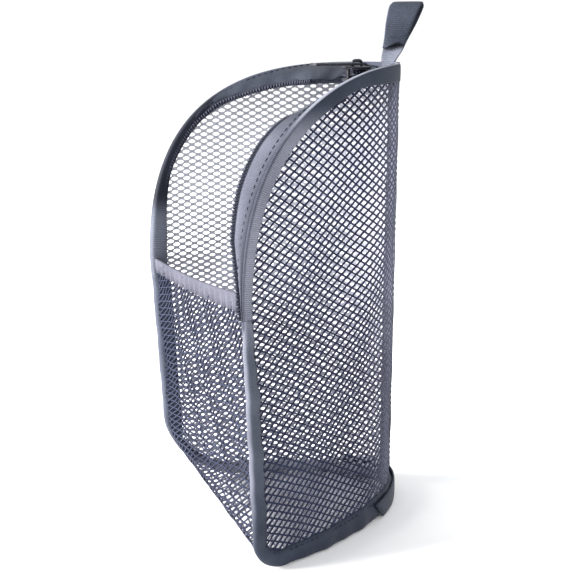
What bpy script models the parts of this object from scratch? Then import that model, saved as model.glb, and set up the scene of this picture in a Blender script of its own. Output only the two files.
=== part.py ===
"""Hanging toiletry bag of open net, standing with its zip undone, as separate sewn pieces.

The bag is a wedge, round at the back and open at the front top. The front faces -Y, the near side
is +X, the far side is -X, and it stands on Z = 0. All sizes are in metres.
"""
import math

import bmesh
import bpy
import numpy as np
from mathutils import Vector

# Body of the bag
BODY_HEIGHT = 0.172
HALF_WIDTH = 0.0415
BASE_DEPTH = 0.0788
FRONT_LEAN = 0.0043
PLAN_ROUNDNESS = 1.83
HEM_HEIGHT = 0.0969
RIM_BELOW_HEM = 0.0054
RIM_START = HEM_HEIGHT - RIM_BELOW_HEM
RIM_SQUARENESS = 2.6
CORNER_RADIUS = 0.0105
CORNER_LIFT = 0.0200
LIFT_START = 0.58

# Cloth
NET_THICKNESS = 0.0008
BINDING_THICKNESS = 0.0022
HEM_THICKNESS = 0.0012
FACING_THICKNESS = 0.0008
TAPE_THICKNESS = 0.0006
CLOTH_GAP = 0.0003
SEAM_GAP = 0.0008
NEAR_BINDING_WIDTH = 0.0056
FAR_BINDING_WIDTH = 0.0050
NEAR_RIBBON_FRONT = 0.0048
NEAR_RIBBON_TOP = 0.0066
FAR_RIBBON_FRONT = 0.0042
FAR_RIBBON_TOP = 0.0084
HEM_BAND = 0.0062
BACK_TAPE_WIDTH = 0.0070
BACK_TAPE_THICKNESS = 0.0009
LAP_HEIGHT = 0.0104
LAP_REACH = 0.0095
LAP_THICKNESS = 0.0010

# Zip
ZIP_REACH = 0.0108
ZIP_REACH_LOW = 0.0052
ZIP_RISE = 0.0009
NEAR_FLARE_FRONT = math.radians(41)
FAR_FLARE_FRONT = math.radians(6)
ZIP_FLARE_TOP = math.radians(-14)
FLARE_SHARE = 0.7
NEAR_REACH_SHARE = 0.3
FAR_REACH_SHARE = 0.85
ZIP_PART_DEPTH = 0.0205
TAPE_WIDTH = 0.0028
COIL_RADIUS = 0.0008
WEB_DROP = 0.0050
WEB_DEPTH = 0.0180
BACK_CLEAR = 0.0012
CHAIN_WIDTH = 0.0040
CHAIN_HEIGHT = 0.0016
CHAIN_BACK = 0.0060
CHAIN_FRONT = 0.0165

# Slider and its pull
SLIDER_LENGTH = 0.0090
SLIDER_WIDTH = 0.0074
SLIDER_PLATE = 0.0011
SLIDER_BACK = 0.0105
POST_WIDTH = 0.0018
POST_LENGTH = 0.0010
POST_SET_BACK = 0.0001
BRIDGE_WIDTH = 0.0020
BRIDGE_LENGTH = 0.0052
BRIDGE_FOOT = 0.0010
BRIDGE_CLEAR = 0.0017
BRIDGE_PLATE = 0.0009
PULL_LENGTH = 0.0190
PULL_WIDTH = 0.0052
PULL_THICKNESS = 0.0010
PULL_WINDOW = 0.0036
PULL_RAIL = 0.0011

# Hanging loop
STRAP_WIDTH = 0.0120
STRAP_THICKNESS = 0.0011
STRAP_LEAN = 0.40
STRAP_TWIST = math.radians(42)
STRAP_TWIST_HEIGHT = 0.0075
LOOP_HEIGHT = 0.0222
LOOP_HALF_GAP = 0.0030
TACK_LENGTH = 0.0085
TACK_HEIGHT = 0.0016
TACK_THICKNESS = 0.0007
TACK_FROM_END = 0.0010
TAIL_HEIGHT = 0.0078
LEG_GAP = 0.0004
LOOP_FOLD = 0.0018
LOOP_TOP_SHARE = 0.62
LOOP_OPENING_RATE = 1.15

NEAR = 1
FAR = -1
BACK_Y = BASE_DEPTH / 2
COLLECTION = "hanging_toiletry_bag"

# Steps in which the curved sheets are made
BOTTOM_STEPS = 12
CORNER_STEPS = 8
FRONT_STEPS = 8
RIM_STEPS = 30
ZIP_STEPS = 26
NET_STEPS = 14
NET_CROWDING = 1.6


def clamp(value):
    """The value held between nought and one."""
    return min(max(value, 0.0), 1.0)


def smooth(value):
    """An easy start and an easy finish between nought and one."""
    share = clamp(value)
    return share * share * (3 - 2 * share)


def blend(start, finish, share):
    """The value a share of the way from start to finish."""
    return start + (finish - start) * share


def depth_at(height):
    """How far the front stands from the back seam at a height."""
    return BASE_DEPTH + FRONT_LEAN * clamp(height / HEM_HEIGHT)


def rounded(share):
    """Half width of the plan as a share, from 0 at the back seam to 1 at the front."""
    return (1 - (1 - clamp(share)) ** PLAN_ROUNDNESS) ** (1 / PLAN_ROUNDNESS)


def corner_lift(share, height, toward_far):
    """How far the slack front corner of the far side is drawn up off the table."""
    forward = clamp((share - LIFT_START) / (1 - LIFT_START)) ** 2
    return CORNER_LIFT * forward * clamp(1 - height / HEM_HEIGHT) * toward_far


def wall_point(side, back_distance, height):
    """A point in the middle of a side wall, told by its place in the side view."""
    share = back_distance / depth_at(height)
    across = max(HALF_WIDTH * rounded(share), SEAM_GAP / 2)
    lifted = height + corner_lift(share, height, 1.0 if side == FAR else 0.0)
    return Vector((side * across, BACK_Y - back_distance, lifted))


def inside_half_width(back_distance, height, inset):
    """Half width between the two side walls, kept an inset clear of them."""
    share = (back_distance - inset) / (depth_at(height) - inset)
    return (HALF_WIDTH - inset) * rounded(share)


def edge_outline():
    """Side view of the sewn edge: along the bottom from the back, round the corner, up the front."""
    corner = depth_at(0) - CORNER_RADIUS
    points = []
    for turn in np.linspace(0, 1, BOTTOM_STEPS + 1):
        bend = math.cos(turn * math.acos((CORNER_RADIUS / depth_at(0)) ** (PLAN_ROUNDNESS / 2)))
        points.append(((1 - bend ** (2 / PLAN_ROUNDNESS)) * depth_at(0), 0.0))
    for angle in np.linspace(0, math.pi / 2, CORNER_STEPS + 1)[1:]:
        height = CORNER_RADIUS * (1 - math.cos(angle))
        reach = corner + CORNER_RADIUS * math.sin(angle)
        points.append((reach + depth_at(height) - depth_at(0), height))
    for height in np.linspace(CORNER_RADIUS, RIM_START - CLOTH_GAP / 2, FRONT_STEPS + 1)[1:]:
        points.append((depth_at(height), height))
    return np.array(points)


def rim_outline():
    """Side view of the zip's edge: from the front hem up and over the top to the back seam."""
    points = []
    start = RIM_START + CLOTH_GAP / 2
    for angle in np.linspace(0, 1, 600):
        turn = math.pi / 2 * (1 - (1 - angle) ** 2)
        share = max(math.cos(turn), 0.0) ** (2 / RIM_SQUARENESS)
        height = start + (BODY_HEIGHT - start) * math.sin(turn) ** (2 / RIM_SQUARENESS)
        points.append((share * depth_at(height), height))
    return np.array(points)


def evenly(side, outline, count):
    """The outline in equal steps of its length on the wall, with the share along it."""
    points = np.array([wall_point(side, *point)[:] for point in outline])
    lengths = np.concatenate([[0], np.cumsum(np.linalg.norm(np.diff(points, axis=0), axis=1))])
    shares = np.linspace(0, 1, count + 1)
    at = shares * lengths[-1]
    steps = np.stack([np.interp(at, lengths, outline[:, 0]), np.interp(at, lengths, outline[:, 1])], axis=1)
    return steps, shares


def inward(outline, widths):
    """The outline moved in towards the net by a width at each point."""
    along = np.gradient(outline, axis=0)
    along /= np.linalg.norm(along, axis=1)[:, None]
    turned = np.stack([-along[:, 1], along[:, 0]], axis=1)
    return outline + turned * np.asarray(widths)[:, None]


def material(name, colour, roughness, metallic=0.0):
    """A plain Principled material."""
    made = bpy.data.materials.new(name)
    made.use_nodes = True
    shader = made.node_tree.nodes["Principled BSDF"]
    shader.inputs["Base Color"].default_value = (*colour, 1)
    shader.inputs["Roughness"].default_value = roughness
    shader.inputs["Metallic"].default_value = metallic
    return made


def add_sheet(name, across, along, place, thickness, surface):
    """A sheet of cloth: a flat grid laid on its place and then thickened evenly."""
    mesh = bpy.data.meshes.new(name)
    grid = bmesh.new()
    bmesh.ops.create_grid(grid, x_segments=across, y_segments=along, size=0.5)
    for vertex in grid.verts:
        vertex.co = place(vertex.co.x + 0.5, vertex.co.y + 0.5)
    grid.to_mesh(mesh)
    grid.free()
    sheet = bpy.data.objects.new(name, mesh)
    parts.objects.link(sheet)
    mesh.materials.append(surface)
    thick = sheet.modifiers.new("thickness", "SOLIDIFY")
    thick.thickness = thickness
    thick.offset = 0
    return sheet


def add_box(name, low, high, where):
    """A box between two corners."""
    bpy.ops.mesh.primitive_cube_add(size=1)
    box = bpy.context.active_object
    box.name = name
    box.data.name = name
    for vertex in box.data.vertices:
        vertex.co = [blend(low[axis], high[axis], vertex.co[axis] + 0.5) for axis in range(3)]
    for holder in list(box.users_collection):
        holder.objects.unlink(box)
    where.objects.link(box)
    return box


def join_or_cut(base, other, operation):
    """A union with, or a cut by, another solid."""
    step = base.modifiers.new(operation.lower(), "BOOLEAN")
    step.operation = operation
    step.solver = "EXACT"
    step.object = other
    other.hide_render = True
    return base


for old in list(bpy.data.objects):
    bpy.data.objects.remove(old, do_unlink=True)
parts = bpy.data.collections.new(COLLECTION)
cutters = bpy.data.collections.new("cutters")
bpy.context.scene.collection.children.link(parts)
bpy.context.scene.collection.children.link(cutters)

NET_CLOTH = material("net", (0.045, 0.052, 0.085), 0.8)
HEM_CLOTH = material("hem_knit", (0.26, 0.27, 0.36), 0.85)
RIBBON = material("ribbon", (0.15, 0.165, 0.22), 0.75)
BINDING = material("binding", (0.12, 0.135, 0.18), 0.75)
FACING = material("zip_facing", (0.19, 0.20, 0.27), 0.75)
TAPE = material("zip_tape", (0.02, 0.022, 0.03), 0.8)
COIL = material("zip_coil", (0.05, 0.053, 0.065), 0.4)
METAL = material("slider_metal", (0.03, 0.032, 0.038), 0.35, 0.6)
STRAP = material("strap", (0.12, 0.135, 0.175), 0.7)
THREAD = material("thread", (0.03, 0.033, 0.045), 0.7)


def add_binding(name, side, width):
    """The folded tape along the bottom and front edges of one side."""
    edge = edge_outline()
    inner = inward(edge, [width] * len(edge))
    rows = len(edge) - 1

    def place(across, along):
        row = round(along * rows)
        return wall_point(side, *blend(edge[row], inner[row], across))

    return add_sheet(name, 2, rows, place, BINDING_THICKNESS, BINDING)


def add_ribbon(name, side, front_width, top_width):
    """The ribbed ribbon that finishes the net along the zip."""
    edge, shares = evenly(side, rim_outline(), RIM_STEPS)
    inner = inward(edge, blend(front_width, top_width, shares))
    inner[:, 0] = np.maximum(inner[:, 0], 0)

    def place(across, along):
        row = round(along * RIM_STEPS)
        return wall_point(side, *blend(edge[row], inner[row], across))

    return add_sheet(name, 2, RIM_STEPS, place, BINDING_THICKNESS, RIBBON)


def add_side_net(name, side, binding_width, front_width, top_width):
    """The net of one side, which fills the frame of binding and ribbon."""
    edge = edge_outline()
    low = inward(edge, [binding_width + CLOTH_GAP] * len(edge))
    rim, shares = evenly(side, rim_outline(), 4 * RIM_STEPS)
    high = inward(rim, blend(front_width, top_width, shares) + CLOTH_GAP)
    reach = binding_width + CLOTH_GAP
    low_share = low[:, 0] / np.array([depth_at(height) - reach for height in low[:, 1]])
    high_share = high[:, 0] / np.array([depth_at(height) - reach for height in high[:, 1]])
    corner = BOTTOM_STEPS + CORNER_STEPS + 1

    def place(across, along):
        column = 1 - max(math.cos(math.pi / 2 * across), 0.0) ** NET_CROWDING
        bottom = np.interp(column, low_share[:corner], low[:corner, 1])
        top = np.interp(column, high_share[::-1], high[::-1, 1])
        height = blend(bottom, top, along)
        return wall_point(side, column * (depth_at(height) - reach), height)

    return add_sheet(name, NET_STEPS, NET_STEPS, place, NET_THICKNESS, NET_CLOTH)


def add_zip_half(side, label, flare_front, reach_share):
    """Facing, tape and coil of one half of the zip, standing off the ribbon's edge.

    The flare is how far the half turns up from straight in. Its full reach comes a share of the way along.
    """
    outline = rim_outline()
    outline = outline[outline[:, 0] > ZIP_PART_DEPTH]
    edge, shares = evenly(side, outline, ZIP_STEPS)
    inner = inward(edge, [ZIP_RISE] * len(edge))
    starts = []
    directions = []
    reaches = []
    for row in range(len(edge)):
        here = wall_point(side, *edge[row])
        out = (here - wall_point(side, *inner[row])).normalized()
        before = wall_point(side, *edge[max(row - 1, 0)])
        after = wall_point(side, *edge[min(row + 1, len(edge) - 1)])
        across = out.cross(after - before).normalized()
        if across.x * side > 0:
            across = -across
        flare = blend(flare_front, ZIP_FLARE_TOP, smooth(shares[row] / FLARE_SHARE))
        starts.append(here + out * ZIP_RISE)
        directions.append(across * math.cos(flare) + out * math.sin(flare))
        reaches.append(blend(ZIP_REACH_LOW, ZIP_REACH, smooth(shares[row] / reach_share)))

    def strip(near_end, far_end):
        def place(across, along):
            row = round(along * ZIP_STEPS)
            far = reaches[row] + far_end
            return starts[row] + directions[row] * blend(near_end(reaches[row]), far, across)
        return place

    tape_end = -COIL_RADIUS - CLOTH_GAP
    facing_end = tape_end - TAPE_WIDTH - CLOTH_GAP
    facing = strip(lambda reach: 0.0, facing_end)
    tape = strip(lambda reach: reach + tape_end - TAPE_WIDTH, tape_end)
    add_sheet(label + "_zip_facing", 2, ZIP_STEPS, facing, FACING_THICKNESS, FACING)
    add_sheet(label + "_zip_tape", 1, ZIP_STEPS, tape, TAPE_THICKNESS, TAPE)

    curve = bpy.data.curves.new(label + "_zip_coil", "CURVE")
    curve.dimensions = "3D"
    curve.bevel_depth = COIL_RADIUS
    curve.bevel_resolution = 1
    curve.use_fill_caps = True
    line = curve.splines.new("POLY")
    line.points.add(ZIP_STEPS)
    for row, point in enumerate(line.points):
        point.co = (*(starts[row] + directions[row] * reaches[row]), 1)
    coil = bpy.data.objects.new(label + "_zip_coil", curve)
    parts.objects.link(coil)
    curve.materials.append(COIL)


add_side_net("near_side_net", NEAR, NEAR_BINDING_WIDTH, NEAR_RIBBON_FRONT, NEAR_RIBBON_TOP)
add_side_net("far_side_net", FAR, FAR_BINDING_WIDTH, FAR_RIBBON_FRONT, FAR_RIBBON_TOP)
add_binding("near_edge_binding", NEAR, NEAR_BINDING_WIDTH)
add_binding("far_edge_binding", FAR, FAR_BINDING_WIDTH)
add_ribbon("near_rim_ribbon", NEAR, NEAR_RIBBON_FRONT, NEAR_RIBBON_TOP)
add_ribbon("far_rim_ribbon", FAR, FAR_RIBBON_FRONT, FAR_RIBBON_TOP)
add_zip_half(NEAR, "near", NEAR_FLARE_FRONT, NEAR_REACH_SHARE)
add_zip_half(FAR, "far", FAR_FLARE_FRONT, FAR_REACH_SHARE)

# Gusset: one strip of net that is the front and the bottom, with a knitted hem at its top
WALL_INSET = BINDING_THICKNESS / 2 + CLOTH_GAP
NET_BASE = NET_THICKNESS / 2


def gusset_profile():
    """Side view of the strip, from under the hem down the front and back along the bottom."""
    radius = CORNER_RADIUS - WALL_INSET
    top = HEM_HEIGHT - HEM_BAND - CLOTH_GAP
    points = [(depth_at(height) - WALL_INSET, height) for height in np.linspace(top, NET_BASE + radius, 11)]
    front = depth_at(0) - WALL_INSET - radius
    for angle in np.linspace(0, math.pi / 2, 5)[1:]:
        height = NET_BASE + radius * (1 - math.sin(angle))
        points.append((front + radius * math.cos(angle), height))
    last = WALL_INSET + BACK_CLEAR
    for share in np.linspace(0, 1, 11)[1:]:
        points.append((blend(front, last, share ** 0.8), NET_BASE))
    return points


gusset = gusset_profile()


def gusset_place(across, along):
    back_distance, height = gusset[round(along * (len(gusset) - 1))]
    side = 2 * across - 1
    share = back_distance / depth_at(height)
    half = inside_half_width(back_distance, height, WALL_INSET)
    lift = corner_lift(share, height, (1 - side) / 2)
    return Vector((side * half, BACK_Y - back_distance, height + lift))


def hem_place(across, along):
    height = HEM_HEIGHT - HEM_BAND * along
    side = 2 * across - 1
    back_distance = depth_at(height) - WALL_INSET
    lift = corner_lift(1.0, height, (1 - side) / 2)
    half = inside_half_width(back_distance, height, WALL_INSET)
    return Vector((side * half, BACK_Y - back_distance, height + lift))


add_sheet("gusset_net", 8, len(gusset) - 1, gusset_place, NET_THICKNESS, NET_CLOTH)
add_sheet("gusset_hem", 10, 2, hem_place, HEM_THICKNESS, HEM_CLOTH)

# Back: the tape down the back seam and the lapped end of the binding at its foot
OUTER_FACE = BINDING_THICKNESS / 2 + CLOTH_GAP


def back_place(across, along):
    side = (across - 0.5) * BACK_TAPE_WIDTH
    height = blend(LAP_HEIGHT + CLOTH_GAP, BODY_HEIGHT, along)
    return Vector((side, BACK_Y + OUTER_FACE + BACK_TAPE_THICKNESS / 2, height))


def lap_place(across, along):
    turn = (across - 0.5) * 2
    outer = OUTER_FACE + LAP_THICKNESS / 2
    distance = LAP_REACH * abs(turn) ** 2
    share = distance / BASE_DEPTH
    half = (HALF_WIDTH + outer) * rounded(share)
    return Vector((math.copysign(half, turn), BACK_Y + outer - distance, LAP_HEIGHT * along))


add_sheet("back_seam_tape", 1, 8, back_place, BACK_TAPE_THICKNESS, BINDING)
add_sheet("binding_end_lap", 12, 1, lap_place, LAP_THICKNESS, BINDING)

# Zip end: the web that closes the back of the opening, with the last teeth on it
WEB_HEIGHT = BODY_HEIGHT - WEB_DROP
WEB_TOP = WEB_HEIGHT + FACING_THICKNESS / 2
CHAIN_LOW = WEB_TOP + CLOTH_GAP


def web_place(across, along):
    distance = blend(WALL_INSET + BACK_CLEAR, WEB_DEPTH, along)
    half = inside_half_width(distance, WEB_HEIGHT, WALL_INSET)
    return Vector(((2 * across - 1) * half, BACK_Y - distance, WEB_HEIGHT))


add_sheet("zip_end_web", 6, 8, web_place, FACING_THICKNESS, FACING)
chain = add_box(
    "zip_closed_chain",
    (-CHAIN_WIDTH / 2, BACK_Y - CHAIN_FRONT, CHAIN_LOW),
    (CHAIN_WIDTH / 2, BACK_Y - CHAIN_BACK, CHAIN_LOW + CHAIN_HEIGHT),
    parts,
)
chain.data.materials.append(COIL)

# Slider: two plates joined by a post ahead of the web, with a bridge on top for the pull
SLIDER_FRONT_Y = BACK_Y - SLIDER_BACK - SLIDER_LENGTH
SLIDER_BACK_Y = BACK_Y - SLIDER_BACK
LOW_PLATE_TOP = WEB_HEIGHT - FACING_THICKNESS / 2 - CLOTH_GAP
TOP_PLATE_LOW = CHAIN_LOW + CHAIN_HEIGHT + CLOTH_GAP
TOP_PLATE_TOP = TOP_PLATE_LOW + SLIDER_PLATE
BRIDGE_Y = (SLIDER_FRONT_Y + SLIDER_BACK_Y) / 2
half = SLIDER_WIDTH / 2
slider = add_box(
    "zip_slider",
    (-half, SLIDER_FRONT_Y, TOP_PLATE_LOW),
    (half, SLIDER_BACK_Y, TOP_PLATE_TOP),
    parts,
)
slider.data.materials.append(METAL)
low_plate = add_box(
    "low_plate",
    (-half, SLIDER_FRONT_Y, LOW_PLATE_TOP - SLIDER_PLATE),
    (half, SLIDER_BACK_Y, LOW_PLATE_TOP),
    cutters,
)
post = add_box(
    "post",
    (-POST_WIDTH / 2, SLIDER_FRONT_Y + POST_SET_BACK, LOW_PLATE_TOP - SLIDER_PLATE / 2),
    (POST_WIDTH / 2, SLIDER_FRONT_Y + POST_SET_BACK + POST_LENGTH, TOP_PLATE_LOW + SLIDER_PLATE / 2),
    cutters,
)
bridge = add_box(
    "bridge",
    (-BRIDGE_WIDTH / 2, BRIDGE_Y - BRIDGE_LENGTH / 2, TOP_PLATE_TOP - SLIDER_PLATE / 2),
    (BRIDGE_WIDTH / 2, BRIDGE_Y + BRIDGE_LENGTH / 2, TOP_PLATE_TOP + BRIDGE_CLEAR + BRIDGE_PLATE),
    cutters,
)
eye = add_box(
    "eye",
    (-BRIDGE_WIDTH, BRIDGE_Y - BRIDGE_LENGTH / 2 + BRIDGE_FOOT, TOP_PLATE_TOP),
    (BRIDGE_WIDTH, BRIDGE_Y + BRIDGE_LENGTH / 2 - BRIDGE_FOOT, TOP_PLATE_TOP + BRIDGE_CLEAR),
    cutters,
)
join_or_cut(slider, post, "UNION")
join_or_cut(slider, low_plate, "UNION")
join_or_cut(slider, bridge, "UNION")
join_or_cut(slider, eye, "DIFFERENCE")

# Pull: a flat tab lying forward, with a window at its head that the bridge's foot stands in
PULL_PIVOT_Z = TOP_PLATE_TOP + BRIDGE_CLEAR / 2
PULL_PIVOT_Y = BRIDGE_Y
bar = PULL_THICKNESS / 2
pull = add_box(
    "pull_tab",
    (-PULL_WIDTH / 2, PULL_PIVOT_Y - PULL_LENGTH, PULL_PIVOT_Z - bar),
    (PULL_WIDTH / 2, PULL_PIVOT_Y + bar, PULL_PIVOT_Z + bar),
    parts,
)
pull.data.materials.append(METAL)
window = add_box(
    "window",
    (PULL_RAIL - PULL_WIDTH / 2, PULL_PIVOT_Y - bar - PULL_WINDOW, PULL_PIVOT_Z - PULL_THICKNESS),
    (PULL_WIDTH / 2 - PULL_RAIL, PULL_PIVOT_Y - bar, PULL_PIVOT_Z + PULL_THICKNESS),
    cutters,
)
join_or_cut(pull, window, "DIFFERENCE")

# Hanging loop: webbing sewn on at the top of the back, turned a part of the way round and folded over
STRAP_FOOT_Y = BACK_Y + OUTER_FACE + BACK_TAPE_THICKNESS / 2
STRAP_FOOT_Z = BODY_HEIGHT + 2 * CLOTH_GAP
LEG_CLEAR = STRAP_THICKNESS / 2 + LEG_GAP


def strap_middle():
    """The webbing's own line: height over its foot, and how far it stands forward of the loop's middle."""
    wide = LOOP_HALF_GAP + STRAP_THICKNESS / 2
    rise = LOOP_HEIGHT - LOOP_FOLD
    leg = [(share * TAIL_HEIGHT, 0.0) for share in (0, 1 / 3, 2 / 3)]
    for share in np.linspace(0, 1, 8):
        height = blend(TAIL_HEIGHT, rise, share)
        leg.append((height, blend(LEG_CLEAR, wide, smooth(share * LOOP_OPENING_RATE))))
    fold = [(LOOP_HEIGHT, wide * LOOP_TOP_SHARE)]
    up = [(height, -stand) for height, stand in leg + fold]
    down = [(height, stand) for height, stand in reversed(leg[3:] + fold)]
    return up + down


strap_line = strap_middle()


def strap_place(across, along):
    height, stand = strap_line[round(along * (len(strap_line) - 1))]
    twist = STRAP_TWIST * smooth(height / STRAP_TWIST_HEIGHT)
    wide = Vector((math.cos(twist), math.sin(twist), 0)) * (across - 0.5) * STRAP_WIDTH
    forward = Vector((math.sin(twist), -math.cos(twist), 0)) * stand
    lean = Vector((0, STRAP_LEAN * height, height))
    return Vector((0, STRAP_FOOT_Y, STRAP_FOOT_Z)) + lean + wide + forward


add_sheet("hang_loop", 2, len(strap_line) - 1, strap_place, STRAP_THICKNESS, STRAP)

# Bar tack: the close row of stitches across the loop's tail

def tack_place(across, along):
    height = TAIL_HEIGHT + TACK_FROM_END + TACK_HEIGHT * along
    share = (height - TAIL_HEIGHT) / (LOOP_HEIGHT - LOOP_FOLD - TAIL_HEIGHT)
    wide = LOOP_HALF_GAP + STRAP_THICKNESS / 2
    stand = blend(LEG_CLEAR, wide, smooth(share * LOOP_OPENING_RATE))
    stand += STRAP_THICKNESS / 2 + CLOTH_GAP + TACK_THICKNESS / 2
    side = Vector((math.cos(STRAP_TWIST), math.sin(STRAP_TWIST), 0)) * (across - 0.5) * TACK_LENGTH
    forward = Vector((math.sin(STRAP_TWIST), -math.cos(STRAP_TWIST), 0)) * stand
    lean = Vector((0, STRAP_LEAN * height, height))
    return Vector((0, STRAP_FOOT_Y, STRAP_FOOT_Z)) + lean + side + forward


add_sheet("loop_bar_tack", 4, 1, tack_place, TACK_THICKNESS, THREAD)

# Moving pieces hang from an empty on their joint's axis
HINGE_LINE = (0, BACK_Y - BINDING_THICKNESS / 2, 0)
STRAP_HINGE = (0, STRAP_FOOT_Y + STRAP_THICKNESS / 2 + CLOTH_GAP, STRAP_FOOT_Z - CLOTH_GAP)
moving = {
    "near_side_hinge": (HINGE_LINE, [
        "near_side_net", "near_edge_binding", "near_rim_ribbon",
        "near_zip_facing", "near_zip_tape", "near_zip_coil",
    ]),
    "slider_track": ((0, BRIDGE_Y, TOP_PLATE_TOP), ["zip_slider"]),
    "pull_hinge": ((0, PULL_PIVOT_Y, PULL_PIVOT_Z), ["pull_tab"]),
    "strap_hinge": (STRAP_HINGE, ["hang_loop", "loop_bar_tack"]),
}
for label, (axis_point, names) in moving.items():
    empty = bpy.data.objects.new(label, None)
    empty.location = axis_point
    parts.objects.link(empty)
    for name in names:
        piece = bpy.data.objects[name]
        piece.parent = empty
        piece.location = piece.location - empty.location
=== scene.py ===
import math

import bpy
import numpy as np
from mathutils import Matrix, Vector


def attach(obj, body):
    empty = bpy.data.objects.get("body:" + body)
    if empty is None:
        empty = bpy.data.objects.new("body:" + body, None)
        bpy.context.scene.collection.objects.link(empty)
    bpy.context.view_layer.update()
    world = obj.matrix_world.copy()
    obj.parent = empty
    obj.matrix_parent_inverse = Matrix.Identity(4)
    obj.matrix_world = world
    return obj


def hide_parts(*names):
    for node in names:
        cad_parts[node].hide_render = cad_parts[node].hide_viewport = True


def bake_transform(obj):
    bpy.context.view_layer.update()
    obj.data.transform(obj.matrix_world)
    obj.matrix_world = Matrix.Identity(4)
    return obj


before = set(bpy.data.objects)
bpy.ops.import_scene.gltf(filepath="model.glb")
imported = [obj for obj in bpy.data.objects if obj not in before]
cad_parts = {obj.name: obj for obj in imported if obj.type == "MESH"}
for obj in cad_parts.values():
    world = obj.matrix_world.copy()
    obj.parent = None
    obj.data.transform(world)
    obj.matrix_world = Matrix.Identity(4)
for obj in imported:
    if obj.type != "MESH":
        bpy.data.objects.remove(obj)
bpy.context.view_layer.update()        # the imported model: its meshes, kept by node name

scene = bpy.context.scene

# View: a short telephoto a little above the middle of the bag.
# It looks past the near front edge, so that the open mouth shows at the left.
CAMERA_PLACE = (0.33517, -0.18193, 0.18268)
CAMERA_TURN = math.radians(62.20)
CAMERA_DIP = math.radians(13.77)
CAMERA_LENS = 65.0
bpy.ops.object.camera_add(location=CAMERA_PLACE, rotation=(math.pi / 2 - CAMERA_DIP, 0, CAMERA_TURN))
scene.camera = bpy.context.object
scene.camera.data.lens = CAMERA_LENS
scene.view_settings.view_transform = "Standard"

# Floor and light: a plain pale floor that runs out into a pale room, under soft lamps.
# The large key lamp stands in front of the bag, at the camera's left, and a weak fill at its right.
FLOOR_SIZE = 12.0
FLOOR_BELOW = 0.0004
FLOOR_COLOUR = (0.97, 0.97, 0.975, 1)
FLOOR_ROUGHNESS = 0.8
ROOM_COLOUR = (0.985, 0.99, 1.0, 1)
ROOM_STRENGTH = 1.06
LAMP_AIM = Vector((0, 0, 0.09))
LAMPS = {
    "key_lamp": ((-0.45, -1.25, 0.60), 0.7, 70.0, (1.0, 0.985, 0.97)),
    "fill_lamp": ((1.3, 0.55, 0.55), 1.0, 2.5, (0.95, 0.97, 1.0)),
}


def new_material(name, roughness, sheen=0.0, metallic=0.0, gloss=0.5):
    """A Principled material with the values that are the same all over it."""
    made = bpy.data.materials.new(name)
    made.use_nodes = True
    shader = made.node_tree.nodes["Principled BSDF"]
    shader.inputs["Roughness"].default_value = roughness
    shader.inputs["Sheen Weight"].default_value = sheen
    shader.inputs["Metallic"].default_value = metallic
    shader.inputs["Specular IOR Level"].default_value = gloss
    return made, made.node_tree, shader.inputs


bpy.ops.mesh.primitive_plane_add(size=FLOOR_SIZE, location=(0, 0, -FLOOR_BELOW))
bpy.ops.object.transform_apply(location=True)
floor = bpy.context.object
floor.name = "floor"
floor_paint, tree, surface = new_material("floor_paint", FLOOR_ROUGHNESS)
surface["Base Color"].default_value = FLOOR_COLOUR
floor.data.materials.append(floor_paint)

room = bpy.data.worlds.new("pale_room")
room.use_nodes = True
room.node_tree.nodes["Background"].inputs["Color"].default_value = ROOM_COLOUR
room.node_tree.nodes["Background"].inputs["Strength"].default_value = ROOM_STRENGTH
scene.world = room
for name, (place, size, power, colour) in LAMPS.items():
    turn = (LAMP_AIM - Vector(place)).to_track_quat("-Z", "Y").to_euler()
    bpy.ops.object.light_add(type="AREA", location=place, rotation=turn)
    lamp = bpy.context.object
    lamp.name = name
    lamp.data.size = size
    lamp.data.energy = power
    lamp.data.color = colour

# Side nets: two D-shaped pieces of warp-knit polyester net with diamond cells, soft and a little slack.
# They are sewn under the bindings at the bottom and the front, and under the ribbons along the rim.
NEAR = 1
FAR = -1
SIDE_NAME = {NEAR: "near", FAR: "far"}
SIDE_BODY = {NEAR: "near_side", FAR: "bag"}
BODY_HEIGHT = 0.172
HALF_WIDTH = 0.0415
BASE_DEPTH = 0.0788
BACK_Y = BASE_DEPTH / 2
FRONT_LEAN = 0.0043
PLAN_ROUNDNESS = 1.83
LEAST_SHARE = 0.003
HEM_HEIGHT = 0.0969
RIM_START = 0.0915
RIM_SQUARENESS = 2.6
CORNER_RADIUS = 0.0105
CORNER_LIFT = 0.0200
LIFT_START = 0.58
OUTLINE_STEPS = 60
OUTLINE_CROWDING = 1.6
CORNER_STEPS = 16
RIM_POINTS = 600
TAPE_STEPS = 150
CELL_HEIGHT = {NEAR: 0.0029, FAR: 0.0026}
CELL_WIDTH = {NEAR: 0.0050, FAR: 0.0046}
GATHERED_CELL_WIDTH = {NEAR: 0.0038, FAR: 0.0046}
GATHER_START = 0.040
GATHER_END = 0.068
CLOTH_REACH = 1.2
NET_REACH = 1.35
CLOTH_POINTS = 400
ROW_DIP = {NEAR: (0.003, 0.012), FAR: (0.0, 0.0)}
DIP_FLOOR = 0.02
STRAND_WIDTHS = {NEAR: (0.00053,), FAR: (0.00019, 0.00030, 0.00042, 0.00053)}
STRAND_THICKNESS = 0.00050
FULL_YARN_LEAN = 0.47
FULL_YARN_START = -0.060
FULL_YARN_BAND = 0.003
SMOOTHING_ROUNDS = {NEAR: 0, FAR: 1}
NET_TUCK = 0.0014
NET_SLACK = 0.0009
NET_WAVE = 0.047
NET_WAVE_SLANT = 0.6
YARN_ROUGHNESS = 0.85
YARN_GLOSS = 0.1
YARN_SCALES = (45.0, 1500.0)
# The far net's yarn is painted pale: painted light, the haze of lit threads seen through the near net. It is
# the same dark yarn as the near one.
YARN_TONES = {
    NEAR: ((0.010, 0.013, 0.030), (0.026, 0.031, 0.060)),
    FAR: ((0.26, 0.27, 0.31), (0.38, 0.39, 0.44)),
}
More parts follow.
